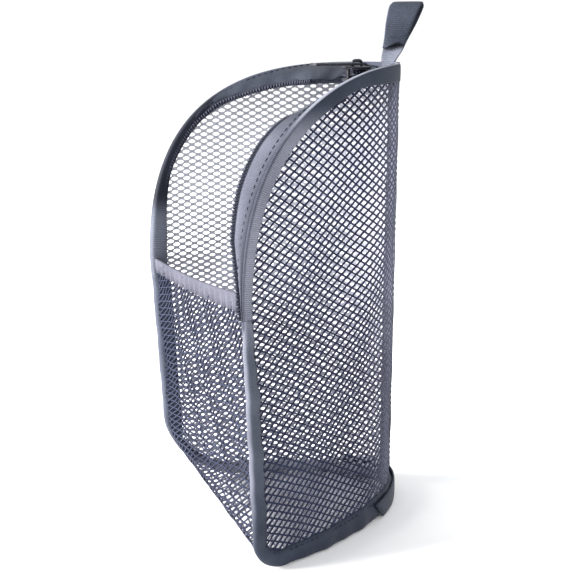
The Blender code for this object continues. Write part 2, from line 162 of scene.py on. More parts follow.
# Painted light and shade past soft steps. The near net is painted paler towards the back, a painted sheen
# where its threads are seen at a grazing angle. The far net is painted paler behind a slant across its front,
# and darker towards the bottom as painted shade inside the bag.
YARN_PAINTED_LIGHT_AND_SHADE_STEPS = {
    NEAR: (((0, 1, 0), 0.006, 0.042, ((0.08, 0.084, 0.115), (0.14, 0.146, 0.19))),),
    FAR: (
        ((0, 1.55, -1), -0.124, -0.112, ((0.36, 0.37, 0.44), (0.50, 0.51, 0.58))),
        ((0, 0, -1), -0.110, -0.050, ((0.22, 0.225, 0.28), (0.32, 0.33, 0.39))),
    ),
}
BINDING_WIDTHS = {
    NEAR: (
        (0, 0.0094), (0.2, 0.0090), (0.36, 0.0074), (0.48, 0.0062), (0.56, 0.0050), (0.66, 0.0054),
        (0.85, 0.0048), (1, 0.0034),
    ),
    FAR: ((0, 0.0052), (0.45, 0.0052), (0.65, 0.0078), (1, 0.0074)),
}
RIBBON_WIDTHS = {
    NEAR: ((0, 0.0034), (0.3, 0.0045), (0.55, 0.0052), (0.68, 0.0046), (0.8, 0.0062), (1, 0.0076)),
    FAR: ((0, 0.0066), (0.12, 0.0064), (0.28, 0.0040), (0.45, 0.0042), (0.75, 0.0080), (1, 0.0084)),
}


def clamp(value):
    """A value kept from 0 to 1."""
    return np.clip(value, 0.0, 1.0)


def smooth(value):
    """A soft step from 0 to 1."""
    share = clamp(value)
    return share * share * (3 - 2 * share)


def blend(start, finish, share):
    """The value a share of the way from start to finish."""
    return start + (finish - start) * share


def lengths_along(points):
    """Length of the way from the first point to each of them."""
    return np.concatenate([[0], np.cumsum(np.linalg.norm(np.diff(points, axis=0), axis=1))])


def at_lengths(wanted, lengths, rows):
    """Rows of numbers, read off at other lengths of their way."""
    return np.stack([np.interp(wanted, lengths, column) for column in rows.T], axis=1)


def width_along(widths, shares):
    """A tape's width at shares of its way, from the widths chosen along it."""
    points = np.array(widths)
    return np.interp(shares, points[:, 0], points[:, 1])


def depth_at(height):
    """How far the front stands from the back seam at a height."""
    return BASE_DEPTH + FRONT_LEAN * clamp(height / HEM_HEIGHT)


def rounded(share):
    """Half width of the plan as a share, from 0 at the back seam to 1 at the front."""
    return (1 - (1 - clamp(share)) ** PLAN_ROUNDNESS) ** (1 / PLAN_ROUNDNESS)


def corner_lift(share, height, toward_far):
    """How far the slack front corner of the far side is drawn up off the table."""
    forward = clamp((share - LIFT_START) / (1 - LIFT_START)) ** 2
    return CORNER_LIFT * forward * clamp(1 - height / HEM_HEIGHT) * toward_far


def wall(side, at, proud=0.0):
    """Points of a side wall, told by their place in the side view, and a distance proud of its middle."""
    back_distance, height = at.T
    depth = depth_at(height)
    share = clamp(back_distance / depth)
    open_share = np.maximum(share, LEAST_SHARE)
    curve = 1 - (1 - open_share) ** PLAN_ROUNDNESS
    slope = (1 - open_share) ** (PLAN_ROUNDNESS - 1) * curve ** (1 / PLAN_ROUNDNESS - 1) * HALF_WIDTH / depth
    length = np.sqrt(1 + slope**2)
    across = HALF_WIDTH * rounded(share) + proud / length
    along = BACK_Y - back_distance + proud * slope / length
    lifted = height + corner_lift(share, height, 1.0 if side == FAR else 0.0)
    return np.stack([side * across, along, lifted], axis=1)


def edge_outline():
    """Side view of the sewn edge: along the bottom from the back, round the corner, up the front."""
    corner = BASE_DEPTH - CORNER_RADIUS
    points = [(corner * share**OUTLINE_CROWDING, 0.0) for share in np.linspace(0, 1, OUTLINE_STEPS)]
    for angle in np.linspace(0, math.pi / 2, CORNER_STEPS)[1:]:
        height = CORNER_RADIUS * (1 - math.cos(angle))
        reach = corner + CORNER_RADIUS * math.sin(angle)
        points.append((reach + depth_at(height) - BASE_DEPTH, height))
    for height in np.linspace(CORNER_RADIUS, RIM_START, OUTLINE_STEPS)[1:]:
        points.append((depth_at(height), height))
    return np.array(points)


def rim_outline():
    """Side view of the zip's edge: from the front hem up and over the top to the back seam."""
    turn = math.pi / 2 * (1 - (1 - np.linspace(0, 1, RIM_POINTS)) ** 2)
    share = np.maximum(np.cos(turn), 0) ** (2 / RIM_SQUARENESS)
    height = RIM_START + (BODY_HEIGHT - RIM_START) * np.sin(turn) ** (2 / RIM_SQUARENESS)
    return np.stack([share * depth_at(height), height], axis=1)


def evenly(side, outline, count):
    """The outline in equal steps of its length on the wall, the share along it, and that length."""
    lengths = lengths_along(wall(side, outline))
    shares = np.linspace(0, 1, count + 1)
    return at_lengths(shares * lengths[-1], lengths, outline), shares, lengths[-1]


def inward(outline, widths):
    """The outline moved in towards the net by a width at each point."""
    along = np.gradient(outline, axis=0)
    along /= np.linalg.norm(along, axis=1)[:, None]
    turned = np.stack([-along[:, 1], along[:, 0]], axis=1)
    return outline + turned * np.broadcast_to(widths, len(outline))[:, None]


def within(points, outline):
    """Which flat points lie inside a closed outline, by counting the edges to one side of them."""
    inside = np.zeros(len(points), bool)
    for (x0, y0), (x1, y1) in zip(outline, np.roll(outline, -1, axis=0)):
        if y0 == y1:
            continue
        crosses = (y0 > points[:, 1]) != (y1 > points[:, 1])
        inside ^= crosses & (points[:, 0] < (x1 - x0) * (points[:, 1] - y0) / (y1 - y0) + x0)
    return inside


def positions(piece):
    """The places of a piece's points, one row each."""
    at = np.empty(len(piece.data.vertices) * 3)
    piece.data.vertices.foreach_get("co", at)
    return at.reshape(-1, 3)


def set_positions(piece, at):
    """Moves a piece's points to new places."""
    piece.data.vertices.foreach_set("co", np.ascontiguousarray(at, dtype=np.float32).ravel())
    piece.data.update()


def choose(*pieces):
    """Selects some pieces and nothing else, with the first as the active one."""
    bpy.ops.object.select_all(action="DESELECT")
    for piece in pieces:
        piece.select_set(True)
    bpy.context.view_layer.objects.active = pieces[0]


def apply_modifier(piece, kind, **settings):
    """Adds a modifier to a piece and applies it."""
    choose(piece)
    step = piece.modifiers.new(kind.lower(), kind)
    for name, value in settings.items():
        setattr(step, name, value)
    bpy.ops.object.modifier_apply(modifier=step.name)


def new_grid(name, columns, rows, size):
    """A flat grid of faces, named as a piece."""
    bpy.ops.mesh.primitive_grid_add(x_subdivisions=columns, y_subdivisions=rows, size=size, calc_uvs=True)
    grid = bpy.context.object
    grid.name = name
    grid.data.name = name
    return grid


def delete_chosen(net, chosen, inset=0.0):
    """Deletes the chosen faces of a net, or only their middles, so that a rim as wide as the inset stays."""
    net.data.polygons.foreach_set("select", chosen)
    bpy.ops.object.mode_set(mode="EDIT")
    if inset:
        bpy.ops.mesh.inset(thickness=inset, use_individual=True, use_even_offset=True)
    bpy.ops.mesh.delete(type="FACE")
    bpy.ops.object.mode_set(mode="OBJECT")


def knit_net(name, strands, widths, thickness, low, high, zone, lay, rounds=0):
    """A flat net whose cells repeat by two strand steps, laid on its shape and given thickness.

    The zone of a cell says which of the widths its strands take, and is -1 where the net is cut away."""
    steps = np.array(strands)
    corners = np.array([(x, y) for y in (low[1], high[1]) for x in (low[0], high[0])])
    counts = corners @ np.linalg.inv(steps)
    middle = np.round((counts.min(axis=0) + counts.max(axis=0)) / 2)
    count = int(np.ceil((counts.max(axis=0) - counts.min(axis=0)).max())) + 2
    count += count % 2
    net = new_grid(name, count, count, count)
    flat = np.zeros((len(net.data.vertices), 3))
    flat[:, :2] = (positions(net)[:, :2] + middle) @ steps
    set_positions(net, flat)
    zones = zone(np.array([face.center[:2] for face in net.data.polygons])).astype(np.int32)
    bpy.ops.object.mode_set(mode="EDIT")
    bpy.ops.mesh.select_mode(type="FACE")
    bpy.ops.object.mode_set(mode="OBJECT")
    net.data.polygons.foreach_set("material_index", np.maximum(zones, 0))
    delete_chosen(net, zones < 0)
    for number, width in enumerate(widths):
        zones = np.zeros(len(net.data.polygons), dtype=np.int32)
        net.data.polygons.foreach_get("material_index", zones)
        delete_chosen(net, zones == number, width / 2)
    net.data.polygons.foreach_set("material_index", np.zeros(len(net.data.polygons), dtype=np.int32))
    if rounds:
        apply_modifier(net, "SUBSURF", levels=rounds, render_levels=rounds)
    set_positions(net, lay(positions(net)[:, :2]))
    apply_modifier(net, "SOLIDIFY", thickness=thickness, offset=0)
    net.data.shade_smooth()
    return net


def shader_node(tree, kind, inputs=None, **settings):
    """The outputs of a new shader node, whose inputs are linked to sockets or set to values."""
    node = tree.nodes.new("ShaderNode" + kind)
    for name, value in settings.items():
        setattr(node, name, value)
    for name, value in (inputs or {}).items():
        if isinstance(value, bpy.types.NodeSocket):
            tree.links.new(value, node.inputs[name])
        else:
            node.inputs[name].default_value = value
    return node.outputs


def mixed(tree, share, first, second, way="MIX"):
    """Two colours mixed by a share, or multiplied."""
    return shader_node(tree, "Mix", {0: share, 6: first, 7: second}, data_type="RGBA", blend_type=way)[2]


def new_group(name, inputs, outputs):
    """A shader node group, the sockets that it is given and those that it fills."""
    group = bpy.data.node_groups.new(name, "ShaderNodeTree")
    for way, sockets in (("INPUT", inputs), ("OUTPUT", outputs)):
        for label, kind in sockets.items():
            group.interface.new_socket(label, in_out=way, socket_type="NodeSocket" + kind)
    return group, group.nodes.new("NodeGroupInput").outputs, group.nodes.new("NodeGroupOutput").inputs


def fibre_tone_group():
    """Colour of yarn: soft patches and fine fibres between a dark and a light tone."""
    inputs = {"Dark": "Color", "Light": "Color", "Patch scale": "Float", "Fibre scale": "Float"}
    group, given, filled = new_group("fibre_tone", inputs, {"Colour": "Color", "Tone": "Float"})
    place = shader_node(group, "TexCoord")["Object"]
    patches, fibres = [
        shader_node(group, "TexNoise", {"Vector": place, "Scale": given[scale], "Detail": detail})["Fac"]
        for scale, detail in (("Patch scale", 3.0), ("Fibre scale", 2.0))
    ]
    both = shader_node(group, "Mix", {0: 0.5, 2: patches, 3: fibres}, data_type="FLOAT")[0]
    spread = {"Value": both, "From Min": 0.36, "From Max": 0.64}
    tone = shader_node(group, "MapRange", spread, clamp=True)["Result"]
    group.links.new(mixed(group, tone, given["Dark"], given["Light"]), filled["Colour"])
    group.links.new(tone, filled["Tone"])
    return group


def soft_step_group():
    """A soft step from 0 to 1 along a direction in the piece's own coordinates."""
    inputs = {"Direction": "Vector", "Start": "Float", "End": "Float"}
    group, given, filled = new_group("soft_step", inputs, {"Step": "Float"})
    place = shader_node(group, "TexCoord")["Object"]
    reach = shader_node(group, "VectorMath", {0: place, 1: given["Direction"]}, operation="DOT_PRODUCT")
    ends = {"Value": reach["Value"], "From Min": given["Start"], "From Max": given["End"]}
    step = shader_node(group, "MapRange", ends, clamp=True, interpolation_type="SMOOTHSTEP")
    group.links.new(step["Result"], filled["Step"])
    return group


FIBRE_TONE = fibre_tone_group()
SOFT_STEP = soft_step_group()


def fibre_tone(tree, tones, scales):
    """The colour of fibres between a dark and a light tone, and the tone alone, at two scales."""
    dark, light = [(*tone, 1) for tone in tones]
    inputs = {"Dark": dark, "Light": light, "Patch scale": scales[0], "Fibre scale": scales[1]}
    return shader_node(tree, "Group", inputs, node_tree=FIBRE_TONE)


def soft_step(tree, direction, start, end):
    """A soft step placed in a material."""
    inputs = {"Direction": direction, "Start": start, "End": end}
    return shader_node(tree, "Group", inputs, node_tree=SOFT_STEP)["Step"]


def stepped(tree, colour, steps, scales):
    """A colour that takes on painted light and shade tones past some soft steps."""
    for direction, start, end, tones in steps:
        other = fibre_tone(tree, tones, scales)["Colour"]
        colour = mixed(tree, soft_step(tree, direction, start, end), colour, other)
    return colour


def net_yarn(name, tones, steps):
    """Matt polyester yarn that takes on other tones past some soft steps, where its threads look hazy: these
    tones are painted light and painted shade.
    """
    made, tree, surface = new_material(name, YARN_ROUGHNESS, gloss=YARN_GLOSS)
    colour = fibre_tone(tree, tones, YARN_SCALES)["Colour"]
    tree.links.new(stepped(tree, colour, steps, YARN_SCALES), surface["Base Color"])
    return made


PLAN_SHARES = np.linspace(0, 1, CLOTH_POINTS) ** 2
PLAN_LENGTHS = lengths_along(wall(NEAR, np.outer(PLAN_SHARES, (BASE_DEPTH, 0.0))))
PANEL_LENGTH = PLAN_LENGTHS[-1]


def along_cloth(side, counted):
    """Length along the cloth of a place counted in loose cells, which are gathered towards the front."""
    lengths = np.linspace(0, CLOTH_REACH * PANEL_LENGTH, CLOTH_POINTS)
    gathered = smooth((lengths - GATHER_START) / (GATHER_END - GATHER_START))
    loose = CELL_WIDTH[side]
    per_cell = blend(loose, GATHERED_CELL_WIDTH[side], gathered)
    cells = np.concatenate([[0], np.cumsum(np.diff(lengths) / per_cell[1:])]) * loose
    return np.interp(counted, cells, lengths)


def dipped(side, length, height):
    """Height of a point in the net whose rows dip towards the front, the more the lower they are."""
    least, most = ROW_DIP[side]
    dip = blend(most, least, smooth((height - DIP_FLOOR) / (BODY_HEIGHT - DIP_FLOOR)))
    return height - dip * clamp((length - GATHER_START) / (PANEL_LENGTH - GATHER_START)) ** 2


def panel_place(side, flat):
    """From counted cells and rows to the cloth's length and height, and to the place in the side view."""
    length = along_cloth(side, flat[:, 0])
    height = dipped(side, length, flat[:, 1])
    share = np.interp(length, PLAN_LENGTHS, PLAN_SHARES)
    return length, height, np.stack([share * depth_at(height), height], axis=1)


def panel_frame(side):
    """Side view of the net's own edge, tucked under its bindings."""
    edges = []
    for outline, widths in ((edge_outline(), BINDING_WIDTHS), (rim_outline(), RIBBON_WIDTHS)):
        edge, shares = evenly(side, outline, TAPE_STEPS)[:2]
        edges.append(inward(edge, width_along(widths[side], shares) - NET_TUCK))
    return np.concatenate(edges)


def add_side_net(side):
    """One side's net, kept where its cells lie in the frame of bindings."""
    frame_line = panel_frame(side)
    half = (CELL_WIDTH[side] / 2, CELL_HEIGHT[side] / 2)
    last = len(STRAND_WIDTHS[side]) - 1

    def zone(flat):
        length, height, at = panel_place(side, flat)
        behind = BACK_Y - at[:, 0] - FULL_YARN_LEAN * height - FULL_YARN_START
        bands = np.clip(np.ceil(behind / FULL_YARN_BAND), 0, last)
        kept = within(at, frame_line) & (length > half[0] / 2)
        return np.where(kept, np.where(height < HEM_HEIGHT, last, bands), -1)

    def lay(flat):
        length, height, at = panel_place(side, flat)
        slack = np.sin(math.pi * clamp(length / PANEL_LENGTH)) * np.sin(math.pi * clamp(height / BODY_HEIGHT))
        turn = 2 * math.pi / NET_WAVE * (length + NET_WAVE_SLANT * height) + side
        return wall(side, at, NET_SLACK * slack * np.sin(turn))

    return knit_net(
        SIDE_NAME[side] + "_net_panel",
        strands=(half, (half[0], -half[1])),
        widths=STRAND_WIDTHS[side],
        thickness=STRAND_THICKNESS,
        low=(0, 0),
        high=(NET_REACH * PANEL_LENGTH, BODY_HEIGHT + ROW_DIP[side][1]),
        zone=zone,
        lay=lay,
        rounds=SMOOTHING_ROUNDS[side],
    )


for side in (FAR, NEAR):
    net = add_side_net(side)
    net.data.materials.append(net_yarn(SIDE_NAME[side] + "_net_yarn", YARN_TONES[side], YARN_PAINTED_LIGHT_AND_SHADE_STEPS[side]))
    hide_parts(SIDE_NAME[side] + "_side_net")
    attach(net, SIDE_BODY[side])

# Front and bottom: one strip of the same net, laid down the front and back along the bottom.
# It is cut on a slant, and its long edges are sewn into the two bindings.
WALL_INSET = 0.0014
FRONT_STRANDS = ((0.0038, 0.0011), (0.0047, 0.0047))
FRONT_STRAND_WIDTH = 0.00044
FRONT_STRAND_THICKNESS = 0.00058
FRONT_TUCK = 0.0016
FRONT_STEPS = 40
FRONT_CORNER_STEPS = 12
HEM_BAND = 0.0062
HEM_TILT = 0.0034
NET_BASE = 0.0005
BACK_END = 0.0030
LEAST_HALF_WIDTH = 0.001
FRONT_WAVE = 0.0005
FRONT_WAVE_LENGTH = 0.021
FRONT_WAVE_SLANT = 0.5
FRONT_WAVE_FADE = 0.02
FRONT_TONES = ((0.014, 0.017, 0.034), (0.036, 0.041, 0.070))
# Painted light: the yarn along the bottom is painted pale for the light of the pale floor under it. It is the
# same dark yarn as the front.
BOTTOM_PAINTED_LIGHT_TONES = ((0.26, 0.265, 0.32), (0.42, 0.425, 0.49))
BOTTOM_PAINTED_LIGHT_STEP = ((0, 1, 0), WALL_INSET - BACK_Y, WALL_INSET - BACK_Y + CORNER_RADIUS, BOTTOM_PAINTED_LIGHT_TONES)


def inside_half_width(back_distance, height):
    """Half width between the two side walls, kept clear of them."""
    share = (back_distance - WALL_INSET) / (depth_at(height) - WALL_INSET)
    return (HALF_WIDTH - WALL_INSET) * rounded(share)


def front_profile():
    """Side view of the strip, from under the hem down the front and back along the bottom."""
    radius = CORNER_RADIUS - WALL_INSET
    heights = np.linspace(HEM_HEIGHT, NET_BASE + radius, FRONT_STEPS)
    points = [(depth_at(height) - WALL_INSET, height) for height in heights]
    front = BASE_DEPTH - WALL_INSET - radius
    for angle in np.linspace(0, math.pi / 2, FRONT_CORNER_STEPS)[1:]:
        points.append((front + radius * math.cos(angle), NET_BASE + radius * (1 - math.sin(angle))))
    for distance in np.linspace(front, BACK_END, FRONT_STEPS)[1:]:
        points.append((distance, NET_BASE))
    return np.array(points)


FRONT_POINTS = front_profile()
FRONT_LENGTHS = lengths_along(FRONT_POINTS)


def front_side_view(down):
    """Place in the side view at a length down from the hem's top, and half of the strip's width there."""
    back_distance, height = at_lengths(down, FRONT_LENGTHS, FRONT_POINTS).T
    return back_distance, height, inside_half_width(back_distance, height) + FRONT_TUCK


def front_zone(flat):
    """Keeps the cells between the two bindings, from under the hem to the back end."""
    down = HEM_HEIGHT - flat[:, 1]
    between = np.abs(flat[:, 0]) < front_side_view(down)[-1]
    below = (down > HEM_BAND - FRONT_TUCK) & (down < FRONT_LENGTHS[-1])
    return np.where(between & below, 0, -1)


def front_lay(flat):
    """Lays the strip on the front and the bottom, with its slack and its drawn-up far corner."""
    back_distance, height, half = front_side_view(HEM_HEIGHT - flat[:, 1])
    across = np.clip(flat[:, 0], -half, half)
    side = across / np.maximum(half - FRONT_TUCK, LEAST_HALF_WIDTH)
    lift = corner_lift(back_distance / depth_at(height), height, (1 - side) / 2)
    turn = 2 * math.pi * (across + FRONT_WAVE_SLANT * height) / FRONT_WAVE_LENGTH
    wave = FRONT_WAVE * np.sin(turn) * clamp(height / FRONT_WAVE_FADE)
    rise = HEM_TILT * (1 + side) / 2 * clamp(height / HEM_HEIGHT)
    return np.stack([across, BACK_Y - back_distance + wave, height + lift + rise], axis=1)


front_net = knit_net(
    "front_and_bottom_net",
    strands=FRONT_STRANDS,
    widths=(FRONT_STRAND_WIDTH,),
    thickness=FRONT_STRAND_THICKNESS,
    low=(-HALF_WIDTH, HEM_HEIGHT - FRONT_LENGTHS[-1]),
    high=(HALF_WIDTH, HEM_HEIGHT),
    zone=front_zone,
    lay=front_lay,
)
front_net.data.materials.append(net_yarn("front_net_yarn", FRONT_TONES, [BOTTOM_PAINTED_LIGHT_STEP]))
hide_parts("gusset_net")
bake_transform(front_net)

# Hem of the front: a close-knit band that is folded over the net's top edge and stitched along its foot.
# It sags a little between the two sides and puckers at the stitches.
HEM_THICKNESS = 0.0015
HEM_LAYER = 0.45
HEM_SAG = 0.0016
HEM_PUCKER = 0.0005
HEM_PUCKER_LENGTH = 0.0047
HEM_STEPS = 120
HEM_FOLD_POINTS = 13
FOLD_SHARPNESS = 3
HEM_TONES = ((0.060, 0.061, 0.086), (0.098, 0.099, 0.13))
HEM_RIBS = (0.0009, 0.00008, 0.85)
RIB_UNEVENNESS = 0.5
RIB_NOISE_SCALE = 400.0
RIB_STRENGTH = 0.8
SMOOTH_STRENGTH = 0.05
CLOTH_SCALES = (70.0, 2200.0)
CLOTH_ROUGHNESS = 0.75
CLOTH_GLOSS = 0.2
CLOTH_SHEEN = 0.02
MERGE_DISTANCE = 1e-6


def fold_section(layer):
    """Section of a band folded in two over its upper edge: round the outside, and back a layer further in."""
    turn = np.linspace(-1, 1, HEM_FOLD_POINTS)
    across = np.abs(turn) ** FOLD_SHARPNESS
    half = np.sign(turn) * (1 - (1 - np.abs(turn)) ** FOLD_SHARPNESS)
    outside = np.stack([across, half], axis=1)
    inside = np.stack([blend(layer, 1, across), half * (1 - layer)], axis=1)[::-1]
    return np.concatenate([outside, inside])


def sew_strip(name, section, rows, place, width, length):
    """A tape swept along its way: a grid rolled up on its section, the seam merged and the ends closed."""
    count = len(section)
    piece = new_grid(name, count, rows, 1)
    grid = positions(piece) + 0.5
    column = np.round(grid[:, 0] * count).astype(int) % count
    row = np.round(grid[:, 1] * rows).astype(int)
    set_positions(piece, place(row, section[column, 0], section[column, 1]))
    spread = piece.data.uv_layers.active.data
    uv = np.empty(len(spread) * 2)
    spread.foreach_get("uv", uv)
    spread.foreach_set("uv", (uv.reshape(-1, 2) * (2 * width, length)).ravel())
    bpy.ops.object.mode_set(mode="EDIT")
    bpy.ops.mesh.select_mode(type="VERT")
    bpy.ops.mesh.select_all(action="SELECT")
    bpy.ops.mesh.remove_doubles(threshold=MERGE_DISTANCE)
    bpy.ops.mesh.fill_holes(sides=0)
    bpy.ops.mesh.select_all(action="SELECT")
    bpy.ops.mesh.normals_make_consistent(inside=False)
    bpy.ops.object.mode_set(mode="OBJECT")
    piece.data.shade_smooth()
    return piece


def cross_ribs_group():
    """Ribs square to a tape's length, read from its own map in metres, with a little unevenness."""
    group, given, filled = new_group("cross_ribs", {"Spacing": "Float"}, {"Rib": "Float"})
    place = shader_node(group, "UVMap", uv_map="UVMap")["UV"]
    along = shader_node(group, "SeparateXYZ", {0: place})["Y"]
    noise = shader_node(group, "TexNoise", {"Vector": place, "Scale": RIB_NOISE_SCALE})["Fac"]
    counted = shader_node(group, "Math", {0: along, 1: given["Spacing"]}, operation="DIVIDE")[0]
    shifted = {0: noise, 1: RIB_UNEVENNESS, 2: counted}
    uneven = shader_node(group, "Math", shifted, operation="MULTIPLY_ADD")[0]
    turns = shader_node(group, "Math", {0: uneven, 1: 2 * math.pi}, operation="MULTIPLY")[0]
    wave = shader_node(group, "Math", {0: turns}, operation="SINE")[0]
    rib = shader_node(group, "MapRange", {"Value": wave, "From Min": -1.0}, clamp=True)["Result"]
    group.links.new(rib, filled["Rib"])
    return group


CROSS_RIBS = cross_ribs_group()


def ribbed_cloth(name, tones, ribs, roughness=CLOTH_ROUGHNESS, steps=(), smooth_past=None):
    """Ribbed woven or knitted tape, of painted light and shade tones past some soft steps, and smooth past
    one.

    The ribs are told by their spacing, their depth and the share of light left between them."""
    spacing, depth, shading = ribs
    made, tree, surface = new_material(name, roughness, sheen=CLOTH_SHEEN, gloss=CLOTH_GLOSS)
    rib = shader_node(tree, "Group", {"Spacing": spacing}, node_tree=CROSS_RIBS)["Rib"]
    hollow = shader_node(tree, "MapRange", {"Value": rib, "To Min": shading}, clamp=True)["Result"]
    strength = RIB_STRENGTH
    if smooth_past:
        fading = {"Value": soft_step(tree, *smooth_past), "To Min": RIB_STRENGTH, "To Max": SMOOTH_STRENGTH}
        strength = shader_node(tree, "MapRange", fading, clamp=True)["Result"]
    bump = shader_node(tree, "Bump", {"Strength": strength, "Distance": depth, "Height": rib})["Normal"]
    tree.links.new(bump, surface["Normal"])
    colour = mixed(tree, 1.0, fibre_tone(tree, tones, CLOTH_SCALES)["Colour"], hollow, "MULTIPLY")
    tree.links.new(stepped(tree, colour, steps, CLOTH_SCALES), surface["Base Color"])
    return made


def hem_place(row, across, half):
    """Places the hem along the top of the front net."""
    side = 2 * row / HEM_STEPS - 1
    height = HEM_HEIGHT + HEM_TILT * (1 + side) / 2 - HEM_BAND * across - HEM_SAG * (1 - side**2)
    back_distance = depth_at(height) - WALL_INSET
    reach = inside_half_width(back_distance, height) + FRONT_TUCK
    pucker = HEM_PUCKER * across * np.sin(2 * math.pi * side * reach / HEM_PUCKER_LENGTH)
    forward = half * HEM_THICKNESS / 2 + pucker
    lift = corner_lift(1.0, height, (1 - side) / 2)
    return np.stack([side * reach, BACK_Y - back_distance - forward, height + lift], axis=1)


hem = sew_strip("front_hem", fold_section(HEM_LAYER), HEM_STEPS, hem_place, HEM_BAND, 2 * HALF_WIDTH)
hem.data.materials.append(ribbed_cloth("hem_knit", HEM_TONES, HEM_RIBS))
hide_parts("gusset_hem")
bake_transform(hem)

# Edge bindings: a folded satin tape on each side, along the bottom from the back and up the front.
# It wraps the net's raw edges and is stitched down along its inner edge. The near one is rolled full.
BINDING_THICKNESS = {
    NEAR: (
        (0, 0.0038), (0.17, 0.0036), (0.18, 0.0026), (0.5, 0.0028), (0.62, 0.0042), (0.9, 0.0040),
        (1, 0.0034),
    ),
    FAR: ((0, 0.0024), (0.5, 0.0032), (0.65, 0.0050), (0.9, 0.0052), (1, 0.0050)),
}
BINDING_WAVE = 0.0004
BINDING_WAVE_COUNTS = (13, 5)
BINDING_SPREAD = 0.006
BINDING_SECTION = (13, 2.4)
BINDING_SEAM = 0.76
BINDING_ROUGHNESS = 0.5
BINDING_RIBS = (0.00055, 0.00006, 0.85)
# The far binding's tones are a lighter copy of the near one's: painted light where the lamp lights its front.
BINDING_TONES = {
    NEAR: ((0.014, 0.020, 0.036), (0.026, 0.034, 0.056)),
    FAR: ((0.046, 0.053, 0.078), (0.074, 0.084, 0.118)),
}
# Painted light and shade past soft steps. The near binding is painted lighter up the front, lightest under
# the hem, where the lamp lights it. The far binding is painted pale along the bottom, and darker again
# towards the back as painted shade.
BINDING_LIGHT_AND_SHADE_STEPS = {
    NEAR: (
        ((0, 0, 1), 0.015, 0.055, ((0.038, 0.045, 0.065), (0.066, 0.075, 0.102))),
        ((0, 0, 1), 0.080, 0.092, ((0.10, 0.107, 0.14), (0.15, 0.158, 0.20))),
    ),
    FAR: (
        ((0, 1, 0), -0.032, -0.010, ((0.22, 0.227, 0.28), (0.31, 0.318, 0.38))),
        ((0, 1, 0), 0.020, 0.040, ((0.085, 0.090, 0.122), (0.135, 0.141, 0.182))),
    ),
}
BINDING_EDGE = 0.0017
# A painted highlight along the near binding's outer edge, and painted shade along the far one's, growing up
# the front.
BINDING_EDGE_HIGHLIGHT_AND_SHADE = {
    NEAR: ((0.080, 0.085, 0.112), (0.120, 0.127, 0.162)),
    FAR: ((0.040, 0.047, 0.070), (0.066, 0.075, 0.106)),
}
BINDING_EDGE_RISE = (0.012, 0.040)
EDGE_SOFTNESS = 0.6
STITCH_PITCH = 0.0024
STITCH_SIZE = (0.0018, 0.00042, 0.00042)
STITCH_LINE = 0.86
THREAD_ROUGHNESS = 0.8
THREAD_GLOSS = 0.1
THREAD_SCALES = (200.0, 3000.0)
THREAD_TONES = ((0.012, 0.014, 0.024), (0.026, 0.030, 0.046))


def across_tape(tree):
    """Distance round a tape's section from its outer edge: over the top, and back underneath."""
    place = shader_node(tree, "UVMap", uv_map="UVMap")["UV"]
    return shader_node(tree, "SeparateXYZ", {0: place})["X"]


def paint_edge_light_and_shade(cloth, tones, width, spread, low, high):
    """Lays painted light and shade, in the tones it is given, over the outer edge of a tape's cloth, growing
    from one height to another.
    """
    tree = cloth.node_tree
    base = tree.nodes["Principled BSDF"].inputs["Base Color"]
    from_edge = shader_node(tree, "Math", {0: across_tape(tree), 1: spread}, operation="PINGPONG")[0]
    ends = {"Value": from_edge, "From Min": width, "From Max": width * EDGE_SOFTNESS}
    edge = shader_node(tree, "MapRange", ends, clamp=True)["Result"]
    rise = soft_step(tree, (0, 0, 1), low, high)
    share = shader_node(tree, "Math", {0: edge, 1: rise}, operation="MULTIPLY")[0]
    other = fibre_tone(tree, tones, CLOTH_SCALES)["Colour"]
    tree.links.new(mixed(tree, share, base.links[0].from_socket, other), base)


def unit(vectors):
    """Each vector at a length of one."""
    return vectors / np.linalg.norm(vectors, axis=1)[:, None]


def round_section(points, fullness):
    """Shares across a tape and its half thickness there, once over the top and once back underneath."""
    across = (1 - np.cos(np.linspace(0, math.pi, points))) / 2
    half = (1 - np.abs(2 * across - 1) ** fullness) ** (1 / fullness)
    over = np.stack([across, half], axis=1)
    under = np.stack([across, -half], axis=1)[-2:0:-1]
    return np.concatenate([over, under])


def wall_tape(name, side, outline, widths, thickness, section, seam, spread, wave=0.0):
    """A tape along an outline on the wall, and the stitch lines on its two faces with their ways out."""
    edge, shares, length = evenly(side, outline, TAPE_STEPS)
    inner = np.maximum(inward(edge, width_along(widths, shares)), 0)
    thick = width_along(thickness, shares) / 2
    many, few = BINDING_WAVE_COUNTS
    ripple = wave * np.sin(2 * math.pi * shares * many + side) * np.sin(2 * math.pi * shares * few)

    def tape_place(row, across, half):
        at = blend(edge[row], inner[row], across[:, None])
        return wall(side, at, half * thick[row] + ripple[row])

    tape = sew_strip(name, round_section(*section), TAPE_STEPS, tape_place, spread, length)
    stitched = blend(edge, inner, STITCH_LINE)
    lines = []
    for proud in (seam * thick, -seam * thick):
        line = wall(side, stitched, proud)
        lines.append((line, unit(wall(side, stitched, proud * 2) - line)))
    return tape, lines


sewing_thread, tree, surface = new_material("sewing_thread", THREAD_ROUGHNESS, gloss=THREAD_GLOSS)
tree.links.new(fibre_tone(tree, THREAD_TONES, THREAD_SCALES)["Colour"], surface["Base Color"])


